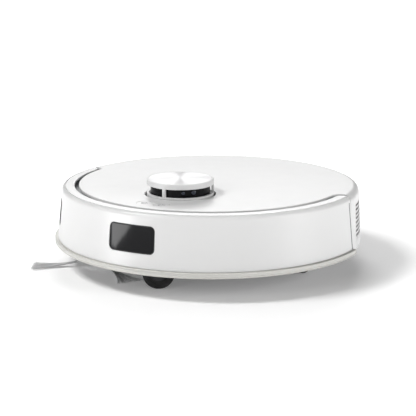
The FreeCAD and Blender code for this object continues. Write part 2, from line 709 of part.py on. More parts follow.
def caster_fork():
    stem = disc(4, 35, 48.5)
    plate = disc(19, 34.7, 38.0)
    inner, outer = CASTER_WIDTH / 2 + 0.6, CASTER_WIDTH / 2 + 3.6
    cheeks = []
    for side in (1, -1):
        slab = box(CASTER_TRAIL - 7, CASTER_TRAIL + 7, side * inner, side * outer, CASTER_R, 36)
        start = Vector(CASTER_TRAIL, min(side * inner, side * outer), CASTER_R)
        foot = Part.makeCylinder(7, outer - inner, start, Y_AXIS)
        cheeks.append(slab.fuse(foot))
    bore = Part.makeCylinder(2, 40, Vector(CASTER_TRAIL, -20, CASTER_R), Y_AXIS)
    return at_caster(stem.fuse([plate, *cheeks]).cut(bore).removeSplitter())


def caster_axle():
    half = CASTER_WIDTH / 2 + 3.6
    return at_caster(Part.makeCylinder(2, 2 * half, Vector(CASTER_TRAIL, -half, CASTER_R), Y_AXIS))


def caster_wheel():
    half = CASTER_WIDTH / 2
    wheel = Part.makeCylinder(CASTER_R, CASTER_WIDTH, Vector(CASTER_TRAIL, -half, CASTER_R), Y_AXIS)
    wheel = wheel.makeFillet(3.0, [e for e in wheel.Edges if e.BoundBox.YLength < 0.1 and e.Length > 50])
    for side in (1, -1):
        start = Vector(CASTER_TRAIL, side * half, CASTER_R)
        dish = Part.makeCylinder(8.5, 1.2, start, Vector(0, -side, 0))
        boss = Part.makeCylinder(4.5, 1.2, start, Vector(0, -side, 0))
        wheel = wheel.cut(dish.cut(boss))
    bore = Part.makeCylinder(2 + RUNNING, 40, Vector(CASTER_TRAIL, -20, CASTER_R), Y_AXIS)
    return at_caster(wheel.cut(bore))


# ---- side brush ----
def at_side_brush(shape):
    made = shape.copy()
    made.translate(polar(SIDE_BRUSH_R, SIDE_BRUSH_BEARING))
    return made


def side_brush_hub():
    cap = disc(13, 6.0, 11.6)
    cap = cap.makeFillet(2.0, edges_at(cap, 6.0, lambda p: True))
    arms = []
    for i in range(3):
        arm = box(-3.6, 3.6, -24, -8, 6.2, 9.6)
        arms.append(turned(arm, BRISTLE_START + 120 * i))
    post = disc(3, 11, 15.2)
    return at_side_brush(cap.fuse([*arms, post]).removeSplitter())


def tuft_section(reach, width, middle, height):
    """Rectangle across a tuft at a distance from the hub."""
    w, h = width / 2, height / 2
    corners = [(-w, middle - h), (w, middle - h), (w, middle + h), (-w, middle + h)]
    points = [Vector(x, -reach, z) for x, z in corners]
    return Part.makePolygon([*points, points[0]])


def side_brush_bristles():
    """Three flat fans of bristle that droop from the hub to just over the floor."""
    root = tuft_section(24.05, 6.0, 7.6, 2.4)
    bend = tuft_section(54.0, 10.0, 3.0, 2.0)
    tip = tuft_section(BRISTLE_R, 15.0, 1.9, 1.6)
    fan = Part.makeLoft([root, bend, tip], True, True)
    return at_side_brush(Part.makeCompound([turned(fan, BRISTLE_START + 120 * i) for i in range(3)]))


def side_brush_motor():
    body = disc(13.6, 15.4, 40)
    body = body.makeFillet(2.0, edges_at(body, 40, lambda p: True))
    can = disc(11, 39, 56)
    socket = disc(3 + RUNNING, 15, 16)
    return at_side_brush(body.fuse(can).cut(socket).removeSplitter())


# ---- main brush and dust path ----
def main_brush_housing():
    """Tunnel over the roller with the throat that leads up and back to the dust bin."""
    block = box(HOUSING_RIGHT, HOUSING_LEFT, HOUSING_FRONT, HOUSING_BACK, UNDERSIDE, HOUSING_TOP)
    throat = box(DUCT_X0 - 2, DUCT_X1 + 2, -16, HOUSING_BACK, 40, DUCT_Z1 + 2)
    block = block.fuse(throat)
    inside = rod(ROLLER_R + 3.5, HOUSING_RIGHT + 4, HOUSING_LEFT - 4, ROLLER_Y, ROLLER_Z)
    mouth = box(HOUSING_RIGHT + 4, HOUSING_LEFT - 4, HOUSING_FRONT + 5, HOUSING_BACK - 5, 0, ROLLER_Z)
    passage = box(DUCT_X0, DUCT_X1, -14, HOUSING_BACK + 1, DUCT_Z0, DUCT_Z1)
    bore = rod(4 + RUNNING, HOUSING_RIGHT - 1, HOUSING_LEFT + 1, ROLLER_Y, ROLLER_Z)
    return block.cut([inside, mouth, passage, bore]).removeSplitter()


def brush_guard():
    """Frame clipped under the roller's mouth, with a comb of guide teeth on its front edge."""
    frame = rounded_plate(84, 35, 4, 3.2)
    opening = rounded_plate(76, 22.5, 3, 20)
    opening.translate(Vector(-2, 0, -5))
    frame = frame.cut(opening)
    frame.translate(Vector(0, ROLLER_Y, UNDERSIDE - 3.2))
    teeth = []
    for i in range(9):
        x = -66 + i * 16
        teeth.append(box(x - 1.5, x + 1.5, ROLLER_Y - 24, ROLLER_Y - 19.5, UNDERSIDE - 3.2, UNDERSIDE - 1))
    latch = box(60, 74, ROLLER_Y + 26, ROLLER_Y + 33, UNDERSIDE - 4.4, UNDERSIDE - 3)
    return frame.fuse([*teeth, latch, mirrored(latch)]).removeSplitter()


def main_brush_core():
    left, right = HOUSING_LEFT - 5.5, HOUSING_RIGHT + 5.5
    core = rod(9, right, left, ROLLER_Y, ROLLER_Z)
    shaft = rod(4, HOUSING_RIGHT + 0.5, BRUSH_BELT_IN + 1, ROLLER_Y, ROLLER_Z)
    pulley = rod(ROLLER_PULLEY_R, BRUSH_BELT_IN, BRUSH_BELT_OUT, ROLLER_Y, ROLLER_Z)
    return core.fuse([shaft, pulley]).removeSplitter()


def main_brush_fins():
    left, right = HOUSING_LEFT - 6.5, HOUSING_RIGHT + 6.5
    sleeve = tube(12, 9, right, left, ROLLER_Y, ROLLER_Z)
    fin = box(right, left, ROLLER_Y - 0.9, ROLLER_Y + 0.9, ROLLER_Z + 11, ROLLER_Z + ROLLER_R)
    fins = [turned(fin, 60 * i, Vector(0, ROLLER_Y, ROLLER_Z), X_AXIS) for i in range(6)]
    return sleeve.fuse(fins).removeSplitter()


def main_brush_motor():
    can = rod(11, 46, 76, BRUSH_MOTOR_Y, BRUSH_MOTOR_Z)
    y, z = BRUSH_MOTOR_Y, BRUSH_MOTOR_Z
    plate = box(76, 79.4, y - 11.8, y + 12, z - 12, z + 14)
    return can.fuse(plate).removeSplitter()


def main_brush_motor_pulley():
    return rod(BRUSH_PULLEY_R, BRUSH_BELT_IN, BRUSH_BELT_OUT, BRUSH_MOTOR_Y, BRUSH_MOTOR_Z)


def main_brush_belt():
    run = math.hypot(BRUSH_MOTOR_Y - ROLLER_Y, BRUSH_MOTOR_Z - ROLLER_Z)
    gap = 0.05
    width = BRUSH_BELT_OUT - BRUSH_BELT_IN
    belt = stadium(ROLLER_PULLEY_R + BELT, BRUSH_PULLEY_R + BELT, run, 0.3, width - 0.3)
    belt = belt.cut(stadium(ROLLER_PULLEY_R + gap, BRUSH_PULLEY_R + gap, run, 0, width))
    climb = math.degrees(math.atan2(BRUSH_MOTOR_Z - ROLLER_Z, BRUSH_MOTOR_Y - ROLLER_Y))
    return stood(belt, Vector(BRUSH_BELT_IN, ROLLER_Y, ROLLER_Z), climb)


def suction_duct():
    outer = box(DUCT_X0 - 2, DUCT_X1 + 2, HOUSING_BACK + 0.2, BIN_Y0 - 0.2, DUCT_Z0 - 2, DUCT_Z1 + 2)
    return outer.cut(box(DUCT_X0, DUCT_X1, 0, 40, DUCT_Z0, DUCT_Z1))


def dust_bin():
    wall = 2.0
    inside = box(BIN_X0 + wall, BIN_X1 - wall, BIN_Y0 + wall, 160, BIN_LOW + wall, 90)
    inside = inside.common(disc(BIN_R - wall, BIN_LOW, 90)).cut(underside(FLOOR_SKIN + 2.8))
    inlet = box(DUCT_X0, DUCT_X1, BIN_Y0 - 1, BIN_Y0 + wall + 1, DUCT_Z0, DUCT_Z1)
    outlet = box(BIN_X1 - wall - 1, BIN_X1 + 1, 54, 106, 30, 66)
    return bin_outline(0, BIN_LOW, BIN_HIGH).cut([underside(FLOOR_SKIN + 0.6), inside, inlet, outlet])


def dust_bin_lid():
    """Lid of the bin with a finger recess and its bail."""
    lid = bin_outline(0, BIN_HIGH, BIN_HIGH + 4)
    recess = box(-48, 4, 70, 100, BIN_HIGH + 1.5, 90)
    bar = box(-50, 6, 81, 89, BIN_HIGH + 2.6, BIN_HIGH + 4)
    return lid.cut(recess).fuse(bar).removeSplitter()


def dust_filter():
    """Pleated filter in its frame against the bin's side window."""
    frame = box(BIN_X1 + 0.2, BIN_X1 + 9.8, 50, 110, 26, 70)
    core = box(BIN_X1 - 1, BIN_X1 + 11, 54, 106, 30, 66)
    pleats = []
    for i in range(13):
        y = 54.6 + 4 * i
        pleats.append(box(BIN_X1 + 1.5, BIN_X1 + 8.5, y, y + 2, 29, 67))
    backing = box(BIN_X1 + 4.5, BIN_X1 + 5.5, 53, 107, 29, 67)
    return frame.cut(core).fuse([backing, *pleats]).removeSplitter()


def fan_housing():
    """Scroll of the suction fan and the exhaust duct on its outlet, as two mouldings."""
    wall = 2.0
    x0, x1 = BIN_X1 + 10.2, BIN_X1 + 38
    y0, y1, z0, z1 = FAN_Y - FAN_R, FAN_Y - FAN_R + 12, 34, 64
    scroll = rod(FAN_R, x0, x1, FAN_Y, FAN_Z).fuse(box(x0 + 8, x1, y0, y1, z0, z1))
    hollow = rod(FAN_R - wall, x0 + wall, x1 - wall, FAN_Y, FAN_Z)
    outlet = box(x0 + 8 + wall, EXHAUST_END + 1, y0 + wall, y1 - wall, z0 + wall, z1 - wall)
    intake = rod(13, x0 - 1, x0 + 3, FAN_Y, FAN_Z)
    shaft = rod(3 + RUNNING, x1 - 3, x1 + 1, FAN_Y, FAN_Z)
    duct = box(x1 + 0.1, EXHAUST_END, y0, y1, z0, z1)
    return Part.makeCompound([scroll.cut([hollow, outlet, intake, shaft]).removeSplitter(), duct.cut(outlet)])


def fan_impeller():
    x0 = BIN_X1 + 14
    back = rod(21.5, x0 + 14, x0 + 16, FAN_Y, FAN_Z)
    hub = rod(6, x0, x0 + 16, FAN_Y, FAN_Z)
    shaft = rod(3, x0 + 15, BIN_X1 + 38, FAN_Y, FAN_Z)
    blade = box(x0 + 3, x0 + 15, FAN_Y - 0.7, FAN_Y + 0.7, FAN_Z + 5, FAN_Z + 21)
    blade = turned(blade, 18, Vector(0, FAN_Y, FAN_Z + 5), X_AXIS)
    blades = [turned(blade, 40 * i, Vector(0, FAN_Y, FAN_Z), X_AXIS) for i in range(9)]
    return back.fuse([hub, shaft, *blades]).removeSplitter()


def fan_motor():
    can = rod(13.8, BIN_X1 + 38.2, BIN_X1 + 68, FAN_Y, FAN_Z)
    return can.fuse(rod(6, BIN_X1 + 67, BIN_X1 + 71, FAN_Y, FAN_Z)).removeSplitter()


def nodes():
    """Every sub-part by name."""
    made = {
        "bumper_shell": bumper_shell(),
        "bumper_strip": bumper_strip(),
        "front_window": window_pane(WINDOW_HALF, WINDOW_BEARING),
        "side_window": window_pane(SIDE_WINDOW_HALF, SIDE_WINDOW_BEARING),
        "top_cover": top_cover(),
        "cover_magnets": cover_magnets(),
        "power_button": button(1),
        "home_button": button(-1),
        "button_board": button_board(),
        "turret_cage": turret_cage(),
        "turret_top_disc": turret_top_disc(),
        "turret_springs": turret_springs(),
        "lidar_head": lidar_head(),
        "lidar_lenses": lidar_lenses(),
        "lidar_base": lidar_base(),
        "lidar_motor": lidar_motor(),
        "lidar_motor_pulley": lidar_motor_pulley(),
        "lidar_belt": lidar_belt(),
        "chassis": chassis(),
        "deck": deck(),
        "deck_magnets": deck_magnets(),
        "wheel_housings": wheel_housings(),
        "battery_pack": battery_pack(),
        "battery_door": battery_door(),
        "main_board": main_board(),
        "speaker": speaker(),
        "front_sensor_module": front_sensor_module(),
        "cliff_sensors": cliff_sensors(),
        "charging_contacts": charging_contacts(),
        "chassis_screws": chassis_screws(),
        "bumper_springs": bumper_springs(),
        "caster_socket": caster_socket(),
        "caster_fork": caster_fork(),
        "caster_axle": caster_axle(),
        "caster_wheel": caster_wheel(),
        "side_brush_hub": side_brush_hub(),
        "side_brush_bristles": side_brush_bristles(),
        "side_brush_motor": side_brush_motor(),
        "main_brush_housing": main_brush_housing(),
        "brush_guard": brush_guard(),
        "main_brush_core": main_brush_core(),
        "main_brush_fins": main_brush_fins(),
        "main_brush_motor": main_brush_motor(),
        "main_brush_motor_pulley": main_brush_motor_pulley(),
        "main_brush_belt": main_brush_belt(),
        "suction_duct": suction_duct(),
        "dust_bin": dust_bin(),
        "dust_bin_lid": dust_bin_lid(),
        "dust_filter": dust_filter(),
        "fan_housing": fan_housing(),
        "fan_impeller": fan_impeller(),
        "fan_motor": fan_motor(),
    }
    wheel_parts = {"wheel_arm": wheel_arm(), "wheel_motor": wheel_motor(), "wheel_hub": wheel_hub()}
    for name, shape in wheel_parts.items():
        made["left_" + name] = shape
        made["right_" + name] = mirrored(shape)
    made["left_tyre"] = tyre()
    made["right_tyre"] = mirrored(made["left_tyre"])
    return made


def main():
    os.makedirs("parts", exist_ok=True)
    for name, shape in nodes().items():
        if not shape.isValid() or not shape.Solids:
            raise RuntimeError(name + " is not a valid solid")
        shape.exportStep("parts/" + name + ".step")
        print(name, len(shape.Solids), "solids", round(shape.Volume / 1000, 2), "cm3")


main()
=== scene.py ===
import bmesh
import bpy
import json
import math
import random
from mathutils import Matrix, Vector


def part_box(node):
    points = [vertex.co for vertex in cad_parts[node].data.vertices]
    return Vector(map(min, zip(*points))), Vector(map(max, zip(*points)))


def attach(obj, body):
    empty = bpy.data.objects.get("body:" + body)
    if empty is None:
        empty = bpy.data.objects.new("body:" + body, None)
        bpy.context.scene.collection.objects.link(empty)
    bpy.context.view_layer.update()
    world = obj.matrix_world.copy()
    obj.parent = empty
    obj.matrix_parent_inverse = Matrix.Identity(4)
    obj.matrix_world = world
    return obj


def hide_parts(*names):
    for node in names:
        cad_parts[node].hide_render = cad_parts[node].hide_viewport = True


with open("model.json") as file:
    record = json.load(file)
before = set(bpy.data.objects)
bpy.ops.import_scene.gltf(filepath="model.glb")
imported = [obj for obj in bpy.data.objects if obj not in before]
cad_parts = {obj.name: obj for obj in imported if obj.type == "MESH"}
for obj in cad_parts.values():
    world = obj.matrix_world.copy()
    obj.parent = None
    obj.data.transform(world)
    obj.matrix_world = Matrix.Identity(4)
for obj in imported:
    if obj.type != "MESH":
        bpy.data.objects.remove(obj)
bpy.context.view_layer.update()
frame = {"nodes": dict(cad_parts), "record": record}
nodes = frame["nodes"]
scene = bpy.context.scene
MM = 0.001                 # forms are built in millimetres, and the scene is in metres


# ---- materials ----
class Shader:
    """A Principled material being made: plain numbers on its sockets, patterns through nodes."""

    def __init__(self, name, colour, roughness, metallic=0.0, **sockets):
        self.material = bpy.data.materials.new(name)
        self.material.use_nodes = True
        self.tree = self.material.node_tree
        self.bsdf = next(n for n in self.tree.nodes if n.type == "BSDF_PRINCIPLED")
        self.colour = colour
        self.set("Base Color", (*colour, 1.0))
        self.set("Roughness", roughness)
        self.set("Metallic", metallic)
        for key, value in sockets.items():
            self.set(key.replace("_", " "), value)
        self.roughness = roughness
        self.coords = self.tree.nodes.new("ShaderNodeTexCoord").outputs["Object"]
        self.height = None

    def set(self, socket, value):
        self.bsdf.inputs[socket].default_value = value

    def node(self, kind, **settings):
        made = self.tree.nodes.new(kind)
        for key, value in settings.items():
            setattr(made, key, value)
        return made

    def link(self, a, b):
        self.tree.links.new(a, b)

    def stretched(self, scale, centre=(0, 0, 0)):
        """Object coordinates moved to a centre and scaled along each axis."""
        mapping = self.node("ShaderNodeMapping")
        mapping.inputs["Location"].default_value = [-c * s for c, s in zip(centre, scale)]
        mapping.inputs["Scale"].default_value = scale
        self.link(self.coords, mapping.inputs["Vector"])
        return mapping.outputs["Vector"]

    def noise(self, scale, detail=2.0, vector=None):
        """Soft noise from 0 to 1 over the object's coordinates, or over another vector."""
        made = self.node("ShaderNodeTexNoise")
        made.inputs["Scale"].default_value = scale
        made.inputs["Detail"].default_value = detail
        self.link(vector or self.coords, made.inputs["Vector"])
        return made.outputs["Fac"]

    def ranged(self, value, low, high, start=0.3, stop=0.7):
        """A value from start..stop brought to low..high, and held beyond both."""
        made = self.node("ShaderNodeMapRange")
        made.inputs["From Min"].default_value = start
        made.inputs["From Max"].default_value = stop
        made.inputs["To Min"].default_value = low
        made.inputs["To Max"].default_value = high
        self.link(value, made.inputs["Value"])
        return made.outputs["Result"]

    def vary_roughness(self, scale, spread, vector=None):
        """Lets the gloss drift by a spread either way."""
        value = self.noise(scale, 3.0, vector)
        varied = self.ranged(value, self.roughness - spread, self.roughness + spread)
        self.link(varied, self.bsdf.inputs["Roughness"])
        return self

    def vary_colour(self, scale, other, vector=None, start=0.35, stop=0.65):
        """Lets the colour drift towards another one in patches."""
        mix = self.node("ShaderNodeMix", data_type="RGBA")
        ends = [s for s in mix.inputs if s.type == "RGBA"]
        ends[0].default_value = (*self.colour, 1.0)
        ends[1].default_value = (*other, 1.0)
        value = self.noise(scale, 3.0, vector)
        self.link(self.ranged(value, 0.0, 1.0, start, stop), mix.inputs["Factor"])
        out = [s for s in mix.outputs if s.type == "RGBA"][0]
        self.link(out, self.bsdf.inputs["Base Color"])
        return self

    def bump(self, height, distance, strength=1.0):
        """Adds a height pattern as relief, with its full height in metres."""
        made = self.node("ShaderNodeBump")
        made.inputs["Strength"].default_value = strength
        made.inputs["Distance"].default_value = distance
        self.link(height, made.inputs["Height"])
        if self.height is not None:
            self.link(self.height, made.inputs["Normal"])
        self.height = made.outputs["Normal"]
        self.link(self.height, self.bsdf.inputs["Normal"])
        return self

    def grain(self, scale, distance, strength=0.3):
        """Adds fine even relief."""
        return self.bump(self.noise(scale, 2.0), distance, strength)


def moulded(name, colour, roughness, shade=0.97, grain=2600, depth=0.00003, **sockets):
    """Injection-moulded plastic: faint tone drift, uneven gloss and a fine grain."""
    made = Shader(name, colour, roughness, **sockets)
    made.vary_colour(14, tuple(c * shade for c in colour))
    made.vary_roughness(45, roughness * 0.12)
    made.grain(grain, depth)
    return made.material


def metal(name, colour, roughness, stretch=(1, 1, 1)):
    """Drawn or turned metal with fine marks along one direction."""
    scale = 900
    made = Shader(name, colour, roughness, metallic=1.0)
    marks = made.stretched(stretch)
    made.vary_roughness(scale, roughness * 0.3, marks)
    made.vary_colour(scale * 0.4, tuple(c * 0.82 for c in colour), marks)
    made.bump(made.noise(scale, 2.0, marks), 0.00002, 0.3)
    return made.material


def rubber(name, colour, roughness=0.62):
    """Rubber with a dusty tone drift and a coarse grain."""
    made = Shader(name, colour, roughness, Specular_IOR_Level=0.35)
    made.vary_colour(70, tuple(c * 1.7 + 0.01 for c in colour))
    made.vary_roughness(110, 0.08)
    made.grain(1500, 0.00008, 0.4)
    return made.material


def turned_plastic(name, colour, roughness, centre):
    """White plastic with fine concentric turning marks that spread highlights into a bow tie."""
    made = Shader(name, colour, roughness, 0.14, Anisotropic=0.95, Specular_IOR_Level=0.8)
    tangent = made.node("ShaderNodeTangent", direction_type="RADIAL", axis="Z")
    made.link(tangent.outputs["Tangent"], made.bsdf.inputs["Tangent"])
    wave = made.node("ShaderNodeTexWave", wave_type="RINGS", rings_direction="Z")
    wave.inputs["Scale"].default_value = 900
    wave.inputs["Distortion"].default_value = 0.6
    wave.inputs["Detail"].default_value = 1.0
    made.link(made.stretched((1, 1, 1), centre), wave.inputs["Vector"])
    made.bump(wave.outputs["Fac"], 0.000002, 0.1)
    made.vary_roughness(40, 0.03)
    made.vary_colour(30, tuple(c * 0.97 for c in colour))
    return made.material


def circuit_board(name):
    """Green board with darker tracks along it."""
    made = Shader(name, (0.02, 0.16, 0.07), 0.38)
    made.vary_colour(260, (0.03, 0.24, 0.10), made.stretched((1.0, 0.12, 1.0)), 0.47, 0.53)
    made.vary_roughness(80, 0.06)
    made.bump(made.noise(420, 1.0, made.stretched((0.15, 1.0, 1.0))), 0.00004, 0.4)
    return made.material


def pleated_paper(name):
    """Off-white filter paper."""
    made = Shader(name, (0.86, 0.84, 0.78), 0.85)
    made.vary_colour(160, (0.78, 0.76, 0.70))
    made.grain(1100, 0.0001, 0.6)
    return made.material


turret_low, turret_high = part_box("turret_cage")
turret_axis = ((turret_low + turret_high) / 2).to_2d()
TURNING_CENTRE = (turret_axis.x, turret_axis.y, 0.0)

finish_of = {
    "white_shell": moulded("white_shell", (0.67, 0.67, 0.668), 0.34, 0.995, 2600, 0.000012,
                           Specular_IOR_Level=0.36),
    "trim_strip": moulded("trim_strip", (0.56, 0.555, 0.525), 0.42, 0.97),
    "black_window": moulded("black_window", (0.004, 0.004, 0.005), 0.07, 1.2, 900, 0.000003,
                            Specular_IOR_Level=0.12),
    "button_white": moulded("button_white", (0.64, 0.64, 0.64), 0.36, 0.98),
    "turret_disc": turned_plastic("turret_disc", (0.70, 0.70, 0.705), 0.36, TURNING_CENTRE),
    "scanner_black": moulded("scanner_black", (0.006, 0.006, 0.007), 0.22, 1.3, 1800, 0.00001,
                             Specular_IOR_Level=0.12),
    "lens": moulded("lens", (0.006, 0.010, 0.022), 0.05, 1.4, 900, 0.000002,
                    Coat_Weight=0.6, Coat_Roughness=0.02),
    "chassis_black": moulded("chassis_black", (0.020, 0.020, 0.022), 0.55, 1.25, 1700, 0.00008),
    "deck_grey": moulded("deck_grey", (0.42, 0.43, 0.45), 0.50, 0.93, 1700, 0.00006),
    "dark_grey": moulded("dark_grey", (0.055, 0.055, 0.06), 0.48, 1.2, 1700, 0.00006),
    "light_grey": moulded("light_grey", (0.60, 0.60, 0.61), 0.42, 0.94),
    "spring_steel": metal("spring_steel", (0.55, 0.55, 0.56), 0.28),
    "steel": metal("steel", (0.58, 0.58, 0.59), 0.30, (1, 1, 0.2)),
    "motor_can": metal("motor_can", (0.50, 0.50, 0.51), 0.34, (0.08, 1, 1)),
    "contact_metal": metal("contact_metal", (0.78, 0.70, 0.50), 0.26, (0.1, 1, 1)),
    "battery_sleeve": moulded("battery_sleeve", (0.03, 0.12, 0.30), 0.30, 0.8, 500, 0.0001),
    "pcb": circuit_board("pcb"),
    "tyre": rubber("tyre", (0.018, 0.018, 0.018), 0.70),
    "rubber": rubber("rubber", (0.010, 0.010, 0.010)),
    "brush_rubber": rubber("brush_rubber", (0.11, 0.115, 0.12), 0.55),
    "bristle": moulded("bristle", (0.62, 0.62, 0.625), 0.45, 0.85, 900, 0.00005),
    "bin_clear": moulded("bin_clear", (0.10, 0.105, 0.11), 0.12, 0.9, 800, 0.00001,
                         Transmission_Weight=0.55),
    "filter_paper": pleated_paper("filter_paper"),
}

# finishes of small details that share a slot with a plainer one
ink = moulded("ink", (0.30, 0.30, 0.31), 0.5, 0.9)
satin_black = moulded("satin_black", (0.004, 0.004, 0.005), 0.35, 1.2, 900, 0.000003,
                      Specular_IOR_Level=0.02)

slot_of = {part["node"]: part["material_slot"] for part in frame["record"]["subparts"]}
bodies = frame["record"]["behaviour"]["bodies"]
body_of = {node: body for body, members in bodies.items() for node in members}
for name, obj in nodes.items():
    obj.data.materials.clear()
    obj.data.materials.append(finish_of[slot_of[name]])


# ---- dimensions shared with the design, in millimetres ----
def extent(node):
    """Lowest and highest corner of a CAD node in millimetres."""
    low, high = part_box(node)
    return low / MM, high / MM


FACET = 22.5               # degrees between the facets of a rounded edge
SKIN = 2.5                 # wall of the bumper and of the cover
FOOT_R = 171.8             # bumper wall where it meets the strip
WALL_DRAFT = 0.1           # how much the bumper wall leans in, for each millimetre of height
SHOULDER_Z = 83.4          # height where the bumper wall turns into the flange
CREASE_R = 162.0           # inner side of the groove round the flange
CREASE_GROOVE = 0.9        # width of that groove
FLANGE_R = 152.3           # inner edge of the flange
BUMPER_END = 92.0          # bearing of each end of the bumper, from the front
BUMPER_CORNER = 6.0        # plan radius of the flange's inner corners
SEAM_SHADE_BACK = 1.7            # bearing from the bumper's end to the joint's painted shade line
SEAM_SHADE_STEP = 0.2            # a third of the painted shade line's width, as a bearing
STRIP_INNER_R = 163.9      # inner edge of the strip's ledge
STRIP_LIP = 0.3            # how far the strip's two lips stand out
WINDOW_CORNER = 5.5
WINDOW_DEPTH = 6           # how deep a window's cutting block goes into the wall
GLASS_BACK = 0.12          # how far the glass is set back from the wall
GASKET = 1.2               # width of the black gasket round each window
GASKET_BACK = 0.3
COVER_END = 93.5           # bearing where the cover widens to the full body
COVER_FRONT_R = 147.5      # cover's edge inside the flange
COVER_CORNER = 10.0        # plan radius of the cover's corner there
COVER_SHOULDER = 8.5       # rounding between the cover's top and its rear wall
COVER_WALL_R = 165.8       # rear wall under the rounding
COVER_FOOT_R = 168.3       # rear wall at its foot
BEYOND_R = 195.0           # a radius well outside the body, for cutting
VENT_ROWS, VENT_LOW, VENT_PITCH, VENT_SLOT = 8, 41.2, 4.7, 2.3
VENT_FROM, VENT_TO = 99.5, 119.0
VENT_DEPTH = 8
HOLE_DEPTH = 8
TURRET_HOLE_R = 38.3
BUTTON_R = 8.4
BUTTON_GAP = 0.3
MARK_SINK = 0.4            # how deep the symbols reach into their buttons

strip_low, strip_high = extent("bumper_strip")
_, shell_high = extent("bumper_shell")
cover_low, cover_high = extent("top_cover")
cage_low, cage_high = extent("turret_cage")
BODY_R = -strip_low.y
STRIP_LOW, STRIP_TOP = strip_low.z, strip_high.z
FLANGE_TOP = shell_high.z
COVER_FOOT, COVER_TOP = cover_low.z, cover_high.z
CAGE_R = (cage_high.x - cage_low.x) / 2
TURRET_AT = tuple(turret_axis / MM)
TURRET_TOP = cage_high.z


# ---- outlines ----
def polar(radius, bearing, centre=(0.0, 0.0)):
    """Plan point at a radius and a bearing, in degrees from the front towards +X."""
    a = math.radians(bearing)
    return centre[0] + radius * math.sin(a), centre[1] - radius * math.cos(a)


def round_over(run, radius):
    """How far a rounded corner has drawn back at a distance before its edge."""
    if run >= radius:
        return 0.0
    return radius - math.sqrt(radius ** 2 - (radius - run) ** 2)


def arc(start, middle, stop, steps=8):
    """Points on the circle through three points, from the first to the last."""
    (ax, ay), (bx, by), (cx, cy) = start, middle, stop
    d = 2 * (ax * (by - cy) + bx * (cy - ay) + cx * (ay - by))
    a2, b2, c2 = ax * ax + ay * ay, bx * bx + by * by, cx * cx + cy * cy
    centre = Vector(((a2 * (by - cy) + b2 * (cy - ay) + c2 * (ay - by)) / d,
                     (a2 * (cx - bx) + b2 * (ax - cx) + c2 * (bx - ax)) / d))
    first = Vector(start) - centre
    half = -first.angle_signed(Vector(middle) - centre)
    whole = -first.angle_signed(Vector(stop) - centre)
    if half * whole < 0:
        whole += math.copysign(2 * math.pi, half)
    return [tuple(centre + Matrix.Rotation(whole * k / steps, 2) @ first) for k in range(steps + 1)]


def rounded(corners, steps=4):
    """Closed outline through corners (x, y) or (x, y, radius), with an arc at each radius."""
    points = []
    for i, (x, y, *radius) in enumerate(corners):
        here = Vector((x, y))
        if not radius:
            points.append((x, y))
            continue
        back = (Vector(corners[i - 1][:2]) - here).normalized()
        ahead = (Vector(corners[(i + 1) % len(corners)][:2]) - here).normalized()
        half = back.angle(ahead) / 2
        reach = radius[0] / math.tan(half)
        centre = here + (back + ahead).normalized() * radius[0] / math.sin(half)
        middle = centre + (here - centre).normalized() * radius[0]
        points += arc(here + back * reach, middle, here + ahead * reach, steps)
    return points


def rounded_rectangle(half_x, half_y, corner, along=16, up=6, turn=6):
    """Points round a rectangle with its sides divided evenly and an arc at each corner."""
    points = []
    quarters = [(1, -1, up), (1, 1, along), (-1, 1, up), (-1, -1, along)]
    for i, (sx, sy, side_steps) in enumerate(quarters):
        cx, cy = sx * (half_x - corner), sy * (half_y - corner)
        start = math.radians(90 * i - 90)
        for k in range(turn + 1):
            a = start + math.radians(90) * k / turn
            points.append((cx + corner * math.cos(a), cy + corner * math.sin(a)))
        nx, ny, _ = quarters[(i + 1) % 4]
        end = start + math.radians(90)
        goal = (nx * (half_x - corner) + corner * math.cos(end),
                ny * (half_y - corner) + corner * math.sin(end))
        here = points[-1]
        for k in range(1, side_steps):
            t = k / side_steps
            points.append((here[0] + (goal[0] - here[0]) * t, here[1] + (goal[1] - here[1]) * t))
    return points


# ---- meshes ----
def bridge(form, rings, closed=False):
    """Joins equal rings of vertices with quads, and caps the two ends unless it closes on itself."""
    count = len(rings[0])
    following = rings[1:] + ([rings[0]] if closed else [])
    for low, high in zip(rings, following):
        for i in range(count):
            j = (i + 1) % count
            form.faces.new((low[i], low[j], high[j], high[i]))
    if not closed:
        caps = [form.faces.new(rings[0]), form.faces.new(reversed(rings[-1]))]
        bmesh.ops.triangulate(form, faces=caps, ngon_method="EAR_CLIP")


def lathe(form, profile, bearings=None, centre=(0.0, 0.0), warp=None, steps=240):
    """Closed (radius, height) profile turned about an upright axis, all round or between bearings."""
    closed = bearings is None
    turns = [360 * k / steps for k in range(steps)] if closed else bearings
    rings = []
    for bearing in turns:
        ring = []
        for radius, height in profile:
            reach = warp(radius, height, bearing) if warp else radius
            ring.append(form.verts.new((*polar(reach, bearing, centre), height)))
        rings.append(ring)
    bridge(form, rings, closed)
    bmesh.ops.remove_doubles(form, verts=form.verts, dist=1e-5)
    bmesh.ops.recalc_face_normals(form, faces=form.faces)
    return form


def stack(form, layers):
    """Closed block through plan outlines given as (height, points)."""
    bridge(form, [[form.verts.new((x, y, z)) for x, y in points] for z, points in layers])
    bmesh.ops.recalc_face_normals(form, faces=form.faces)
    return form


PROUD = 7.0                # how far a cutting block stands out of the wall, beyond its bulge


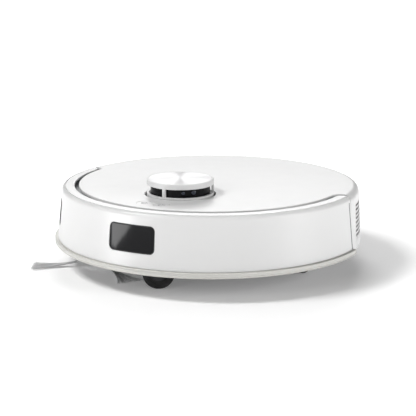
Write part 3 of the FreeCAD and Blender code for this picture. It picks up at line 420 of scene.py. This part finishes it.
def wall_block(form, bearing, middle, half_x, half_y, corner, wall, edge, depth):
    """Closed block through an upright wall. Its mouth widens over a round, or narrows if edge < 0."""
    size = abs(edge)
    way = math.copysign(1.0, edge)
    layers = [(-depth, 0.0)]
    for k in range(4):
        a = math.radians(FACET * k)
        layers.append((size * (math.sin(a) - 0.88), way * size * (1 - math.cos(a))))
    layers.append((PROUD, way * size * 0.75))
    nominal = wall(middle)
    rings = []
    for out, grow in layers:
        ring = []
        for x, y in rounded_rectangle(half_x + grow, half_y + grow, corner + grow):
            z = middle + y
            ring.append(form.verts.new((*polar(wall(z) + out, bearing + math.degrees(x / nominal)), z)))
        rings.append(ring)
    bridge(form, rings)
    bmesh.ops.recalc_face_normals(form, faces=form.faces)
    return form


def made_of(name, form):
    """Object from a form in millimetres."""
    bmesh.ops.scale(form, vec=(MM, MM, MM), verts=form.verts)
    mesh = bpy.data.meshes.new(name)
    form.to_mesh(mesh)
    form.free()
    piece = bpy.data.objects.new(name, mesh)
    scene.collection.objects.link(piece)
    return piece


def combine(piece, form, operation="DIFFERENCE"):
    """Cuts a piece with a closed form, or keeps what the two share, and settles the result."""
    tool = made_of("tool", form)
    modifier = piece.modifiers.new("combine", "BOOLEAN")
    modifier.operation = operation
    modifier.solver = "EXACT"
    modifier.use_hole_tolerant = True
    modifier.object = tool
    bpy.context.view_layer.update()
    evaluated = piece.evaluated_get(bpy.context.evaluated_depsgraph_get())
    settled = bpy.data.meshes.new_from_object(evaluated)
    piece.modifiers.clear()
    piece.data = settled
    bpy.data.objects.remove(tool)


def dress(piece, body, slot, *replaced, material=None, sharp=35):
    """Finish, smooth shading with crisp edges, and the body that the piece rides on."""
    mesh = piece.data
    mesh.materials.clear()
    mesh.materials.append(material or finish_of[slot])
    mesh.shade_smooth()
    mesh.set_sharp_from_angle(angle=math.radians(sharp))
    normals = piece.modifiers.new("normals", "WEIGHTED_NORMAL")
    normals.keep_sharp = True
    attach(piece, body)
    if replaced:
        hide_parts(*replaced)
    return piece


# ---- bumper ----
def shell_wall(z):
    """Outer radius of the bumper's wall at a height."""
    return FOOT_R - WALL_DRAFT * (z - STRIP_TOP)


def bumper_bearings():
    """Even steps along the bumper, closer together where its corners are rounded."""
    ends = [0, 0.12, 0.3, 0.55, 0.9, 1.3, 1.8, 2.4, 3.2]
    rest = [-BUMPER_END + 4 + k for k in range(int(2 * BUMPER_END) - 7)]
    return [-BUMPER_END + e for e in ends] + rest + [BUMPER_END - e for e in reversed(ends)]


def flange_corner(radius, height, bearing):
    """Draws the flange's inner edge back near the ends of the bumper."""
    run = math.radians(BUMPER_END - abs(bearing)) * FLANGE_R
    share = max(0.0, CREASE_R - radius) / (CREASE_R - FLANGE_R)
    return radius + round_over(run, BUMPER_CORNER) * min(1.0, share)


def window_opening(node):
    """Bearing, middle height and half sizes of a window's opening, from its CAD pane."""
    low, high = extent(node)
    points = [Vector(v.co.to_2d()).normalized() for v in nodes[node].data.vertices]
    angles = [math.degrees(math.atan2(p.x, -p.y)) for p in points]
    bearing = (min(angles) + max(angles)) / 2
    middle = (low.z + high.z) / 2
    play = 0.15
    half_x = math.radians(max(angles) - min(angles)) / 2 * shell_wall(middle) + play
    return bearing, middle, half_x, (high.z - low.z) / 2 + play


def bumper_moulding():
    """Wall and flange of the bumper, with a groove round the flange and openings for the windows."""
    foot_gap = 0.35
    groove_out = CREASE_R + CREASE_GROOVE
    groove_floor = FLANGE_TOP - 1.4
    shoulder = arc((shell_wall(SHOULDER_Z), SHOULDER_Z), (CREASE_R + 3.5, FLANGE_TOP - 2.2),
                   (groove_out + 0.1, FLANGE_TOP - 0.5))
    profile = rounded([
        (FOOT_R - SKIN, STRIP_TOP),
        (FOOT_R - 1.0, STRIP_TOP),
        (FOOT_R - 1.0, STRIP_TOP + foot_gap),
        (shell_wall(STRIP_TOP + foot_gap), STRIP_TOP + foot_gap, 0.25),
        *shoulder,
        (groove_out, groove_floor),
        (CREASE_R, groove_floor),
        (CREASE_R - 0.05, FLANGE_TOP - 0.3, 0.25),
        (FLANGE_R, FLANGE_TOP, 0.5),
        (FLANGE_R, FLANGE_TOP - SKIN, 0.5),
        (CREASE_R - 0.6, FLANGE_TOP - SKIN - 0.3),
        (shell_wall(SHOULDER_Z) - SKIN, SHOULDER_Z),
    ])
    form = lathe(bmesh.new(), profile, bumper_bearings(), warp=flange_corner)
    shell = made_of("bumper_moulding", form)
    for node in ("front_window", "side_window"):
        bearing, middle, half_x, half_y = window_opening(node)
        hole = wall_block(bmesh.new(), bearing, middle, half_x, half_y,
                          WINDOW_CORNER, shell_wall, 0.4, WINDOW_DEPTH)
        combine(shell, hole)
    dress(shell, "bumper", "white_shell", "bumper_shell")


def painted_seam_shade():
    """Painted shade: a thin dark strip on the bumper's wall near each end, standing in for the shadow
    line of the joint there.
    """
    low, high = STRIP_TOP + 0.6, SHOULDER_Z - 0.6
    proud, sunk = 0.03, 1
    profile = [(shell_wall(low) - sunk, low), (shell_wall(low) + proud, low),
               (shell_wall(high) + proud, high), (shell_wall(high) - sunk, high)]
    form = bmesh.new()
    for way in (-1, 1):
        lathe(form, profile, [way * (BUMPER_END - SEAM_SHADE_BACK + SEAM_SHADE_STEP * k) for k in range(4)])
    # painted shade: dark grey strips that stand in for the shadow of the joint line
    dress(made_of("painted_seam_shade", form), "bumper", "dark_grey")


def foot_strip():
    """Strip round the foot of the bumper: a ledge on top and a face between two fine lips."""
    profile = rounded([
        (STRIP_INNER_R, STRIP_LOW, 0.3),
        (BODY_R - 1.4, STRIP_LOW, 1.0),
        (BODY_R, STRIP_LOW + 1.6, 0.3),
        (BODY_R, STRIP_LOW + 2.0, 0.15),
        (BODY_R - STRIP_LIP, STRIP_LOW + 2.3),
        (BODY_R - STRIP_LIP, STRIP_TOP - 1.5),
        (BODY_R, STRIP_TOP - 1.2, 0.15),
        (BODY_R, STRIP_TOP - 0.3, 0.25),
        (BODY_R - 0.9, STRIP_TOP, 0.4),
        (FOOT_R - SKIN, STRIP_TOP),
        (FOOT_R - SKIN, STRIP_LOW + SKIN),
        (STRIP_INNER_R, STRIP_LOW + SKIN, 0.3),
    ])
    strip = made_of("foot_strip", lathe(bmesh.new(), profile, bumper_bearings()))
    dress(strip, "bumper", "trim_strip", "bumper_strip")


def set_back(distance):
    """The bumper's wall moved inwards, as wall_block wants it."""
    return lambda z: shell_wall(z) - distance


def window_pane(name, window, grow, back):
    """Curved pane that fills a window's opening grown by a margin, set back from the wall."""
    bearing, middle, half_x, half_y = window
    reach = math.degrees(half_x / shell_wall(middle)) + 1
    steps = 48
    turns = [bearing - reach + 2 * reach * k / steps for k in range(steps + 1)]
    low, high = middle - half_y - 1, middle + half_y + 1
    profile = [(shell_wall(low) - back, low), (shell_wall(high) - back, high),
               (shell_wall(high) - SKIN, high), (shell_wall(low) - SKIN, low)]
    pane = made_of(name, lathe(bmesh.new(), profile, turns))
    block = wall_block(bmesh.new(), bearing, middle, half_x + grow, half_y + grow,
                       WINDOW_CORNER + grow, set_back(back), -0.3, WINDOW_DEPTH)
    combine(pane, block, "INTERSECT")
    return pane


def window_glass(node):
    """Glossy pane and the gasket round it."""
    window = window_opening(node)
    glass = window_pane(node + "_glass", window, -GASKET, GLASS_BACK)
    material = satin_black if node == "side_window" else None
    dress(glass, "bumper", "black_window", node, material=material)
    gasket = window_pane(node + "_gasket", window, -0.06, GASKET_BACK)
    bearing, middle, half_x, half_y = window
    width = GASKET - 0.05
    inner = wall_block(bmesh.new(), bearing, middle, half_x - width, half_y - width,
                       WINDOW_CORNER - GASKET, set_back(GASKET_BACK), 0.1, WINDOW_DEPTH)
    combine(gasket, inner)
    dress(gasket, "bumper", "rubber")


# ---- top cover ----
def cover_wall(z):
    """Outer radius of the cover's rear wall at a height."""
    straight = COVER_TOP - COVER_SHOULDER - COVER_FOOT
    return COVER_FOOT_R - (COVER_FOOT_R - COVER_WALL_R) * (z - COVER_FOOT) / straight


def front_outline(grow):
    """Plan of everything in front of the cover, grown into the cover by a margin."""
    centre_r = COVER_FRONT_R + COVER_CORNER
    arc_end = COVER_END - math.degrees(math.asin(COVER_CORNER / centre_r))
    half = [polar(COVER_FRONT_R - grow, arc_end * k / 100) for k in range(101)]
    corner = polar(centre_r, arc_end)
    sweep = COVER_END + 90 - (arc_end + 180)
    for k in range(1, 13):
        half.append(polar(COVER_CORNER + grow, arc_end + 180 + sweep * k / 12, corner))
    edge = polar(grow, COVER_END + 90)
    half.append(polar(BEYOND_R, COVER_END, edge))
    half += [polar(BEYOND_R, COVER_END * (1 - k / 12)) for k in range(1, 12)]
    middle = [polar(BEYOND_R, 0)]
    return half[1:] + middle + [(-x, y) for x, y in reversed(half[1:])] + [half[0]]


def rim_layers(outline, low, edge):
    """Layers of a tool that leaves a rounded rim where it comes out of the cover's top."""
    layers = [(low, outline(0.0))]
    for k in range(4):
        a = math.radians(FACET * k)
        layers.append((COVER_TOP + edge * (math.sin(a) - 0.88), outline(edge * (1 - math.cos(a)))))
    layers.append((COVER_TOP + 3, outline(edge * 0.75)))
    return layers


def circle(radius, centre, steps):
    return [polar(radius, 360 * k / steps, centre) for k in range(steps)]


def round_hole(radius, centre, steps):
    """Outline of a round hole that can be grown by a margin, as rim_layers wants it."""
    return lambda grow: circle(radius + grow, centre, steps)


def button_places():
    """Plan centre of each button, by CAD node."""
    places = {}
    for node in ("power_button", "home_button"):
        low, high = extent(node)
        places[node] = ((low.x + high.x) / 2, (low.y + high.y) / 2)
    return places


def vent_slots():
    """Closed forms of the vent's slots, all in one."""
    half_x = math.radians(VENT_TO - VENT_FROM) / 2 * COVER_WALL_R
    slots = bmesh.new()
    for row in range(VENT_ROWS):
        wall_block(slots, (VENT_FROM + VENT_TO) / 2, VENT_LOW + row * VENT_PITCH, half_x, VENT_SLOT / 2,
                   VENT_SLOT * 0.45, cover_wall, 0.25, VENT_DEPTH)
    return slots


def cover_moulding():
    """Top and rear wall in one, cut away in front, with its turret, button and vent openings."""
    straight_top = COVER_TOP - COVER_SHOULDER
    centre_r = COVER_WALL_R - COVER_SHOULDER
    inner = COVER_SHOULDER - SKIN
    outer_mid, inner_mid = COVER_SHOULDER * math.sqrt(0.5), inner * math.sqrt(0.5)
    profile = rounded([
        (COVER_FOOT_R, COVER_FOOT, 0.4),
        *arc((COVER_WALL_R, straight_top), (centre_r + outer_mid, straight_top + outer_mid),
             (centre_r, COVER_TOP), 10),
        (0, COVER_TOP),
        (0, COVER_TOP - SKIN),
        *arc((centre_r, COVER_TOP - SKIN), (centre_r + inner_mid, straight_top + inner_mid),
             (centre_r + inner, straight_top), 6),
        (COVER_FOOT_R - SKIN, COVER_FOOT, 0.4),
    ])
    cover = made_of("cover_moulding", lathe(bmesh.new(), profile, steps=288))
    combine(cover, stack(bmesh.new(), rim_layers(front_outline, COVER_FOOT - 3, 0.8)))
    turret = round_hole(TURRET_HOLE_R, TURRET_AT, 144)
    combine(cover, stack(bmesh.new(), rim_layers(turret, COVER_TOP - HOLE_DEPTH, 0.7)))
    for place in button_places().values():
        hole = round_hole(BUTTON_R + BUTTON_GAP, place, 64)
        combine(cover, stack(bmesh.new(), rim_layers(hole, COVER_TOP - HOLE_DEPTH, 0.35)))
    combine(cover, vent_slots())
    dress(cover, "cover", "white_shell", "top_cover")


def buttons():
    """Round keys with a slightly raised rim and a collar that holds them under the cover."""
    for node, centre in button_places().items():
        low, high = extent(node)
        top = high.z
        profile = rounded([
            (0, top - 0.25),
            (3, top - 0.2),
            (6.2, top - 0.05),
            (BUTTON_R, top, 0.5),
            (BUTTON_R, top - 2.3),
            (BUTTON_R + 1.4, top - 2.5, 0.2),
            (BUTTON_R + 1.4, low.z, 0.2),
            (0, low.z),
        ])
        key = made_of(node + "_cap", lathe(bmesh.new(), profile, centre=centre, steps=96))
        dress(key, body_of[node], "button_white", node)


def bar(form, x0, x1, y0, y1, z0, z1, corner):
    """Flat bar with rounded corners in plan."""
    middle = ((x0 + x1) / 2, (y0 + y1) / 2)
    outline = rounded_rectangle((x1 - x0) / 2, (y1 - y0) / 2, corner, 2, 2, 5)
    plan = [(middle[0] + x, middle[1] + y) for x, y in outline]
    return stack(form, [(z0, plan), (z1, plan)])


def power_mark():
    """Open ring with a short bar in its gap."""
    x, y = button_places()["power_button"]
    top = extent("power_button")[1].z
    low = top - MARK_SINK
    form = bmesh.new()
    ring = [(3.2, low), (3.2, top - 0.06), (3.9, top - 0.04), (3.9, low)]
    lathe(form, ring, [220 + 10 * k for k in range(29)], centre=(x, y))
    bar(form, x - 0.35, x + 0.35, y + 1.2, y + 4.4, low, top - 0.02, 0.3)
    dress(made_of("power_mark", form), "power_key", "button_white", material=ink)


def home_mark():
    """House: a floor, two walls and a roof in short steps."""
    x, y = button_places()["home_button"]
    top = extent("home_button")[1].z
    low, high = top - MARK_SINK, top - 0.04
    form = bmesh.new()
    bar(form, x - 2.6, x + 2.6, y - 3.0, y - 2.2, low, high, 0.3)
    for way in (-1, 1):
        wall_x = x + way * 2.3
        bar(form, wall_x - 0.35, wall_x + 0.35, y - 2.8, y + 0.6, low, high, 0.3)
        steps = 6
        for k in range(steps):
            t = k / steps
            roof_x = x + way * (3.4 * (1 - t))
            roof_y = y + 3.0 * t
            bar(form, roof_x - 0.55, roof_x + 0.55, roof_y + 0.4, roof_y + 1.1, low, high, 0.3)
    dress(made_of("home_mark", form), "home_key", "button_white", material=ink)


def cover_marks():
    """Status lamp beside the buttons, and a plain plate at the back of the cover."""
    lamp = circle(1.3, polar(135, -8.4), 32)
    form = stack(bmesh.new(), [(COVER_TOP - 0.6, lamp), (COVER_TOP - 0.02, lamp)])
    dress(made_of("status_lamp", form), "cover", "light_grey", material=ink)
    plate = bar(bmesh.new(), -20, 20, 103.8, 108.2, COVER_TOP - 0.6, COVER_TOP - 0.01, 2.1)
    dress(made_of("name_plate_blank", plate), "cover", "light_grey", material=ink)


# ---- turret ----
def post_edges(middle, half_width, inner):
    """Warp that rounds the two outer edges of a post."""
    def rounding(radius, height, bearing):
        edge = math.radians(half_width - abs(bearing - middle)) * CAGE_R
        return radius - round_over(edge, 0.6) if radius > inner + 1 else radius
    return rounding


def turret_shell():
    """Base ring and cap with an open band between them, and the posts across the band."""
    inner = CAGE_R - 2.7
    band_low, band_high = TURRET_TOP - 14.8, TURRET_TOP - 5.9
    form = bmesh.new()
    lathe(form, rounded([
        (inner, cage_low.z),
        (CAGE_R, cage_low.z),
        (CAGE_R, band_low, 0.5),
        (inner, band_low, 0.3),
    ]), centre=TURRET_AT, steps=180)
    lathe(form, rounded([
        (0, TURRET_TOP - 3),
        (inner, TURRET_TOP - 3),
        (inner, band_high, 0.3),
        (CAGE_R, band_high, 0.4),
        (CAGE_R, TURRET_TOP, 1.3),
        (CAGE_R - 2, TURRET_TOP, 0.25),
        (CAGE_R - 2, TURRET_TOP - 0.6),
        (0, TURRET_TOP - 0.6),
    ], 6), centre=TURRET_AT, steps=180)
    half_width = 2.85
    turns = [half_width * t for t in (-1, -0.94, -0.85, -0.7, 0, 0.7, 0.85, 0.94, 1)]
    section = [(inner + 0.05, band_low - 0.6), (inner + 0.05, band_high + 0.6),
               (CAGE_R - 0.05, band_high + 0.6), (CAGE_R - 0.05, band_low - 0.6)]
    for post in range(3):
        middle = 120 * post
        lathe(form, section, [middle + t for t in turns], centre=TURRET_AT,
              warp=post_edges(middle, half_width, inner))
    dress(made_of("turret_shell", form), "turret_cap", "white_shell", "turret_cage")


def turret_disc():
    """Thin turned disc let into the turret's cap."""
    radius = CAGE_R - 2.15
    profile = rounded([
        (0, TURRET_TOP - 0.02),
        (radius, TURRET_TOP - 0.02, 0.3),
        (radius, TURRET_TOP - 0.6),
        (0, TURRET_TOP - 0.6),
    ])
    form = lathe(bmesh.new(), profile, centre=TURRET_AT, steps=180)
    dress(made_of("turret_disc", form), "turret_cap", "turret_disc", "turret_top_disc")


# ---- side brush and caster ----
def bristle(form, centre, bearing, reach, lean, start, base, end):
    """Thin strand that slopes from the hub to the floor and leans away from its tuft's bearing."""
    root, steps = 22.5, 6
    rings = []
    for k in range(steps + 1):
        t = k / steps
        radius = root + (reach - root) * t
        turn = bearing + lean * t ** 1.2 + math.degrees(start / radius) * (1 - t)
        height = end + (base - end) * (1 - t) ** 2.2
        thick = 0.17 * (1 - 0.4 * t)
        x, y = polar(radius, turn, centre)
        across = polar(thick, turn + 90)
        rings.append([form.verts.new((x + across[0], y + across[1], height)),
                      form.verts.new((x, y, height + thick)),
                      form.verts.new((x - across[0], y - across[1], height)),
                      form.verts.new((x, y, height - thick))])
    bridge(form, rings)


def side_brush_tufts():
    """Three fans of single bristles, a little longer along both edges of the fan."""
    joints = frame["record"]["behaviour"]["joints"]
    spin = next(j for j in joints if j["name"] == "side_brush_spin")
    centre = (spin["pos_m"][0] / MM, spin["pos_m"][1] / MM)
    draw = random.Random(7)
    form = bmesh.new()
    first, fan, per_tuft = 58.5, 12.0, 130
    tip = 77.6
    for tuft in range(3):
        for strand in range(per_tuft):
            lean = draw.uniform(-fan, fan)
            reach = tip - draw.random() * 4 - (fan - abs(lean)) * 0.12
            start = draw.uniform(-2.4, 2.4)
            base = 7.0 + draw.uniform(-0.8, 1.0)
            end = 1.7 + draw.uniform(-0.4, 0.7)
            bristle(form, centre, first + 120 * tuft, reach, lean, start, base, end)
    bmesh.ops.recalc_face_normals(form, faces=form.faces)
    dress(made_of("side_brush_tufts", form), "side_brush", "bristle", "side_brush_bristles", sharp=180)


def caster_roller():
    """Caster wheel with fine concentric steps on both faces and a groove round its tread."""
    low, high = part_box("caster_wheel")
    middle = (low + high) / 2 / MM
    radius = (high.z - low.z) / 2 / MM
    half = 6.5
    rounding, heading = 3, 28.3
    side_profile = [(2.1, half - 0.2), (4.5, half - 0.2), (4.7, half - 1.3),
                    (8.3, half - 1.3), (8.5, half)]
    for ridge in (10.2, 12.0):
        side_profile += [(ridge, half), (ridge + 0.2, half - 0.45)]
        side_profile += [(ridge + 0.9, half - 0.45), (ridge + 1.1, half)]
    inset = rounding * (1 - math.sqrt(0.5))
    edge = arc((radius - rounding, half), (radius - inset, half - inset), (radius, half - rounding), 6)
    top = side_profile + edge + [(radius, 0.7), (radius - 0.5, 0.4)]
    profile = top + [(r, -z) for r, z in reversed(top)]
    form = lathe(bmesh.new(), profile, steps=120)
    tilt = Matrix.Rotation(math.radians(heading), 4, "Z") @ Matrix.Rotation(math.radians(90), 4, "X")
    bmesh.ops.transform(form, matrix=Matrix.Translation(middle) @ tilt, verts=form.verts)
    dress(made_of("caster_roller", form), "caster_roller", "rubber", "caster_wheel")


bumper_moulding()
painted_seam_shade()
foot_strip()
window_glass("front_window")
window_glass("side_window")
cover_moulding()
buttons()
power_mark()
home_mark()
cover_marks()
turret_shell()
turret_disc()
side_brush_tufts()
caster_roller()


# ---- stage ----
FULL_GLOW = 1.03           # a little over white, so that far surfaces render as plain white


def staged(name, form, paint):
    """A part of the surroundings, from a form in metres."""
    mesh = bpy.data.meshes.new(name)
    form.to_mesh(mesh)
    form.free()
    thing = bpy.data.objects.new(name, mesh)
    scene.collection.objects.link(thing)
    thing.data.materials.append(paint.material)
    return thing


def make_floor():
    """Wide sheet of white paper with painted light: it glows a little near the body, which lightens the
    shadows there, and more with distance, up to the backdrop's white.
    """
    form = bmesh.new()
    bmesh.ops.create_grid(form, x_segments=2, y_segments=2, size=80)
    paper = Shader("glowing_floor_paper", (0.93, 0.93, 0.93), 0.85, Specular_IOR_Level=0.1)
    paper.vary_roughness(3, 0.03)
    paper.set("Emission Color", (1, 1, 1, 1))
    away = paper.node("ShaderNodeVectorMath", operation="LENGTH")
    paper.link(paper.coords, away.inputs[0])
    # painted light: the floor's own glow lightens the shadows near the body and whitens the floor
    # farther away
    near_glow = paper.ranged(away.outputs["Value"], 0.15, 0.46, 0.2, 0.36)
    far_glow = paper.ranged(away.outputs["Value"], 0, FULL_GLOW - 0.46, 0.36, 2.1)
    glow = paper.node("ShaderNodeMath", operation="ADD")
    paper.link(near_glow, glow.inputs[0])
    paper.link(far_glow, glow.inputs[1])
    paper.link(glow.outputs["Value"], paper.bsdf.inputs["Emission Strength"])
    staged("floor", form, paper)


def make_backdrop():
    """Far white dome behind everything, which the camera sees and which lights nothing."""
    form = bmesh.new()
    bmesh.ops.create_uvsphere(form, u_segments=64, v_segments=32, radius=12)
    paint = Shader("backdrop_paint", (0, 0, 0), 1.0, Specular_IOR_Level=0.0)
    paint.set("Emission Color", (1, 1, 1, 1))
    paint.set("Emission Strength", FULL_GLOW)
    paint.material.cycles.emission_sampling = "NONE"
    dome = staged("backdrop", form, paint)
    dome.visible_diffuse = False
    dome.visible_glossy = False
    dome.visible_transmission = False
    dome.visible_shadow = False


make_floor()
make_backdrop()

world = bpy.data.worlds.new("studio")
world.use_nodes = True
background = next(n for n in world.node_tree.nodes if n.type == "BACKGROUND")
background.inputs["Strength"].default_value = 0.0
scene.world = world
scene.view_settings.view_transform = "Standard"


# ---- camera ----
VIEW_AZIMUTH = math.radians(28.3)
VIEW_ELEVATION = math.radians(13.3)
VIEW_DISTANCE = 1.507      # from the middle of the body
BODY_MIDDLE = 0.0522       # height of that middle
AIM_HEIGHT = 0.0593
AIM_LEFT = 0.0032
LENS, SENSOR = 115.5, 36
side = Vector((math.cos(VIEW_AZIMUTH), math.sin(VIEW_AZIMUTH), 0))
back = Vector((
    math.sin(VIEW_AZIMUTH) * math.cos(VIEW_ELEVATION),
    -math.cos(VIEW_AZIMUTH) * math.cos(VIEW_ELEVATION),
    math.sin(VIEW_ELEVATION),
))
toward = Vector((back.x, back.y, 0)).normalized()
aim = Vector((0, 0, AIM_HEIGHT)) - side * AIM_LEFT
camera = bpy.data.objects.new("camera", bpy.data.cameras.new("camera"))
camera.data.lens = LENS
camera.data.sensor_width = SENSOR
camera.data.clip_end = 200
camera.location = Vector((0, 0, BODY_MIDDLE)) + back * VIEW_DISTANCE
camera.rotation_euler = (aim - camera.location).to_track_quat("-Z", "Y").to_euler()
scene.collection.objects.link(camera)
scene.camera = camera


# ---- lights ----
def area_light(name, place, target, size, watts, size_y=None):
    """Soft box at a place, turned towards a target."""
    data = bpy.data.lights.new(name, "AREA")
    data.energy = watts
    data.size = size
    if size_y:
        data.shape = "RECTANGLE"
        data.size_y = size_y
    lamp = bpy.data.objects.new(name, data)
    lamp.location = place
    lamp.rotation_euler = (Vector(target) - Vector(place)).to_track_quat("-Z", "Y").to_euler()
    scene.collection.objects.link(lamp)
    return lamp


def around(right, near, up):
    """A place given as seen by the camera: metres to the right, towards it, and up."""
    return side * right + toward * near + Vector((0, 0, up))


def mirrored(bearing, height, reach):
    """The place seen in the front window at a bearing and a height, some metres in front of it."""
    point = Vector((*polar(shell_wall(height), bearing), height)) * MM
    normal = Vector((*polar(1, bearing), WALL_DRAFT)).normalized()
    return point + (point - camera.location).normalized().reflect(normal) * reach


def window_panels():
    """Soft boxes in a row, whose lower edges make one slanting line in the front window."""
    wide, tall, radiance = 0.18, 0.045, 13
    past_end, spacing, reach = 0.02, 0.006, 0.5
    start, stop = mirrored(-7.8, 47, reach), mirrored(-1.1, 76, reach)
    along = (stop - start).normalized()
    facing = (mirrored(-4.5, 61, 0) - (start + stop) / 2).normalized()
    up = along.cross(facing).normalized()
    up = up if up.z > 0 else -up
    facing = up.cross(along)
    facing = facing if facing.y > 0 else -facing
    for step in range(4):
        middle = stop + along * (past_end - wide / 2) + up * (tall / 2 + spacing * step)
        watts = radiance * math.pi * wide * tall
        panel = area_light("window_panel", middle, middle + facing, wide, watts, tall)
        right = up.cross(-facing)
        panel.rotation_euler = Matrix((right, up, -facing)).transposed().to_euler()
        panel.visible_diffuse = False


# name: metres to the right, towards the camera and up, size in metres, watts
SOFT_BOXES = {
    "left_high": (-1.6, 0.4, 2.2, 0.8, 50),
    "left_front": (-1.7, 1.7, 1.0, 1.0, 16),
    "right_front": (2.1, 1.3, 0.8, 1.0, 26),
    "right_low": (2.3, 1.0, 0.35, 0.7, 12),
    "back": (0, -2.4, 1.6, 1.6, 42),
}
for name, (right, near, up, size, watts) in SOFT_BOXES.items():
    area_light(name, around(right, near, up), (0, 0, 0.05), size, watts)
window_panels()
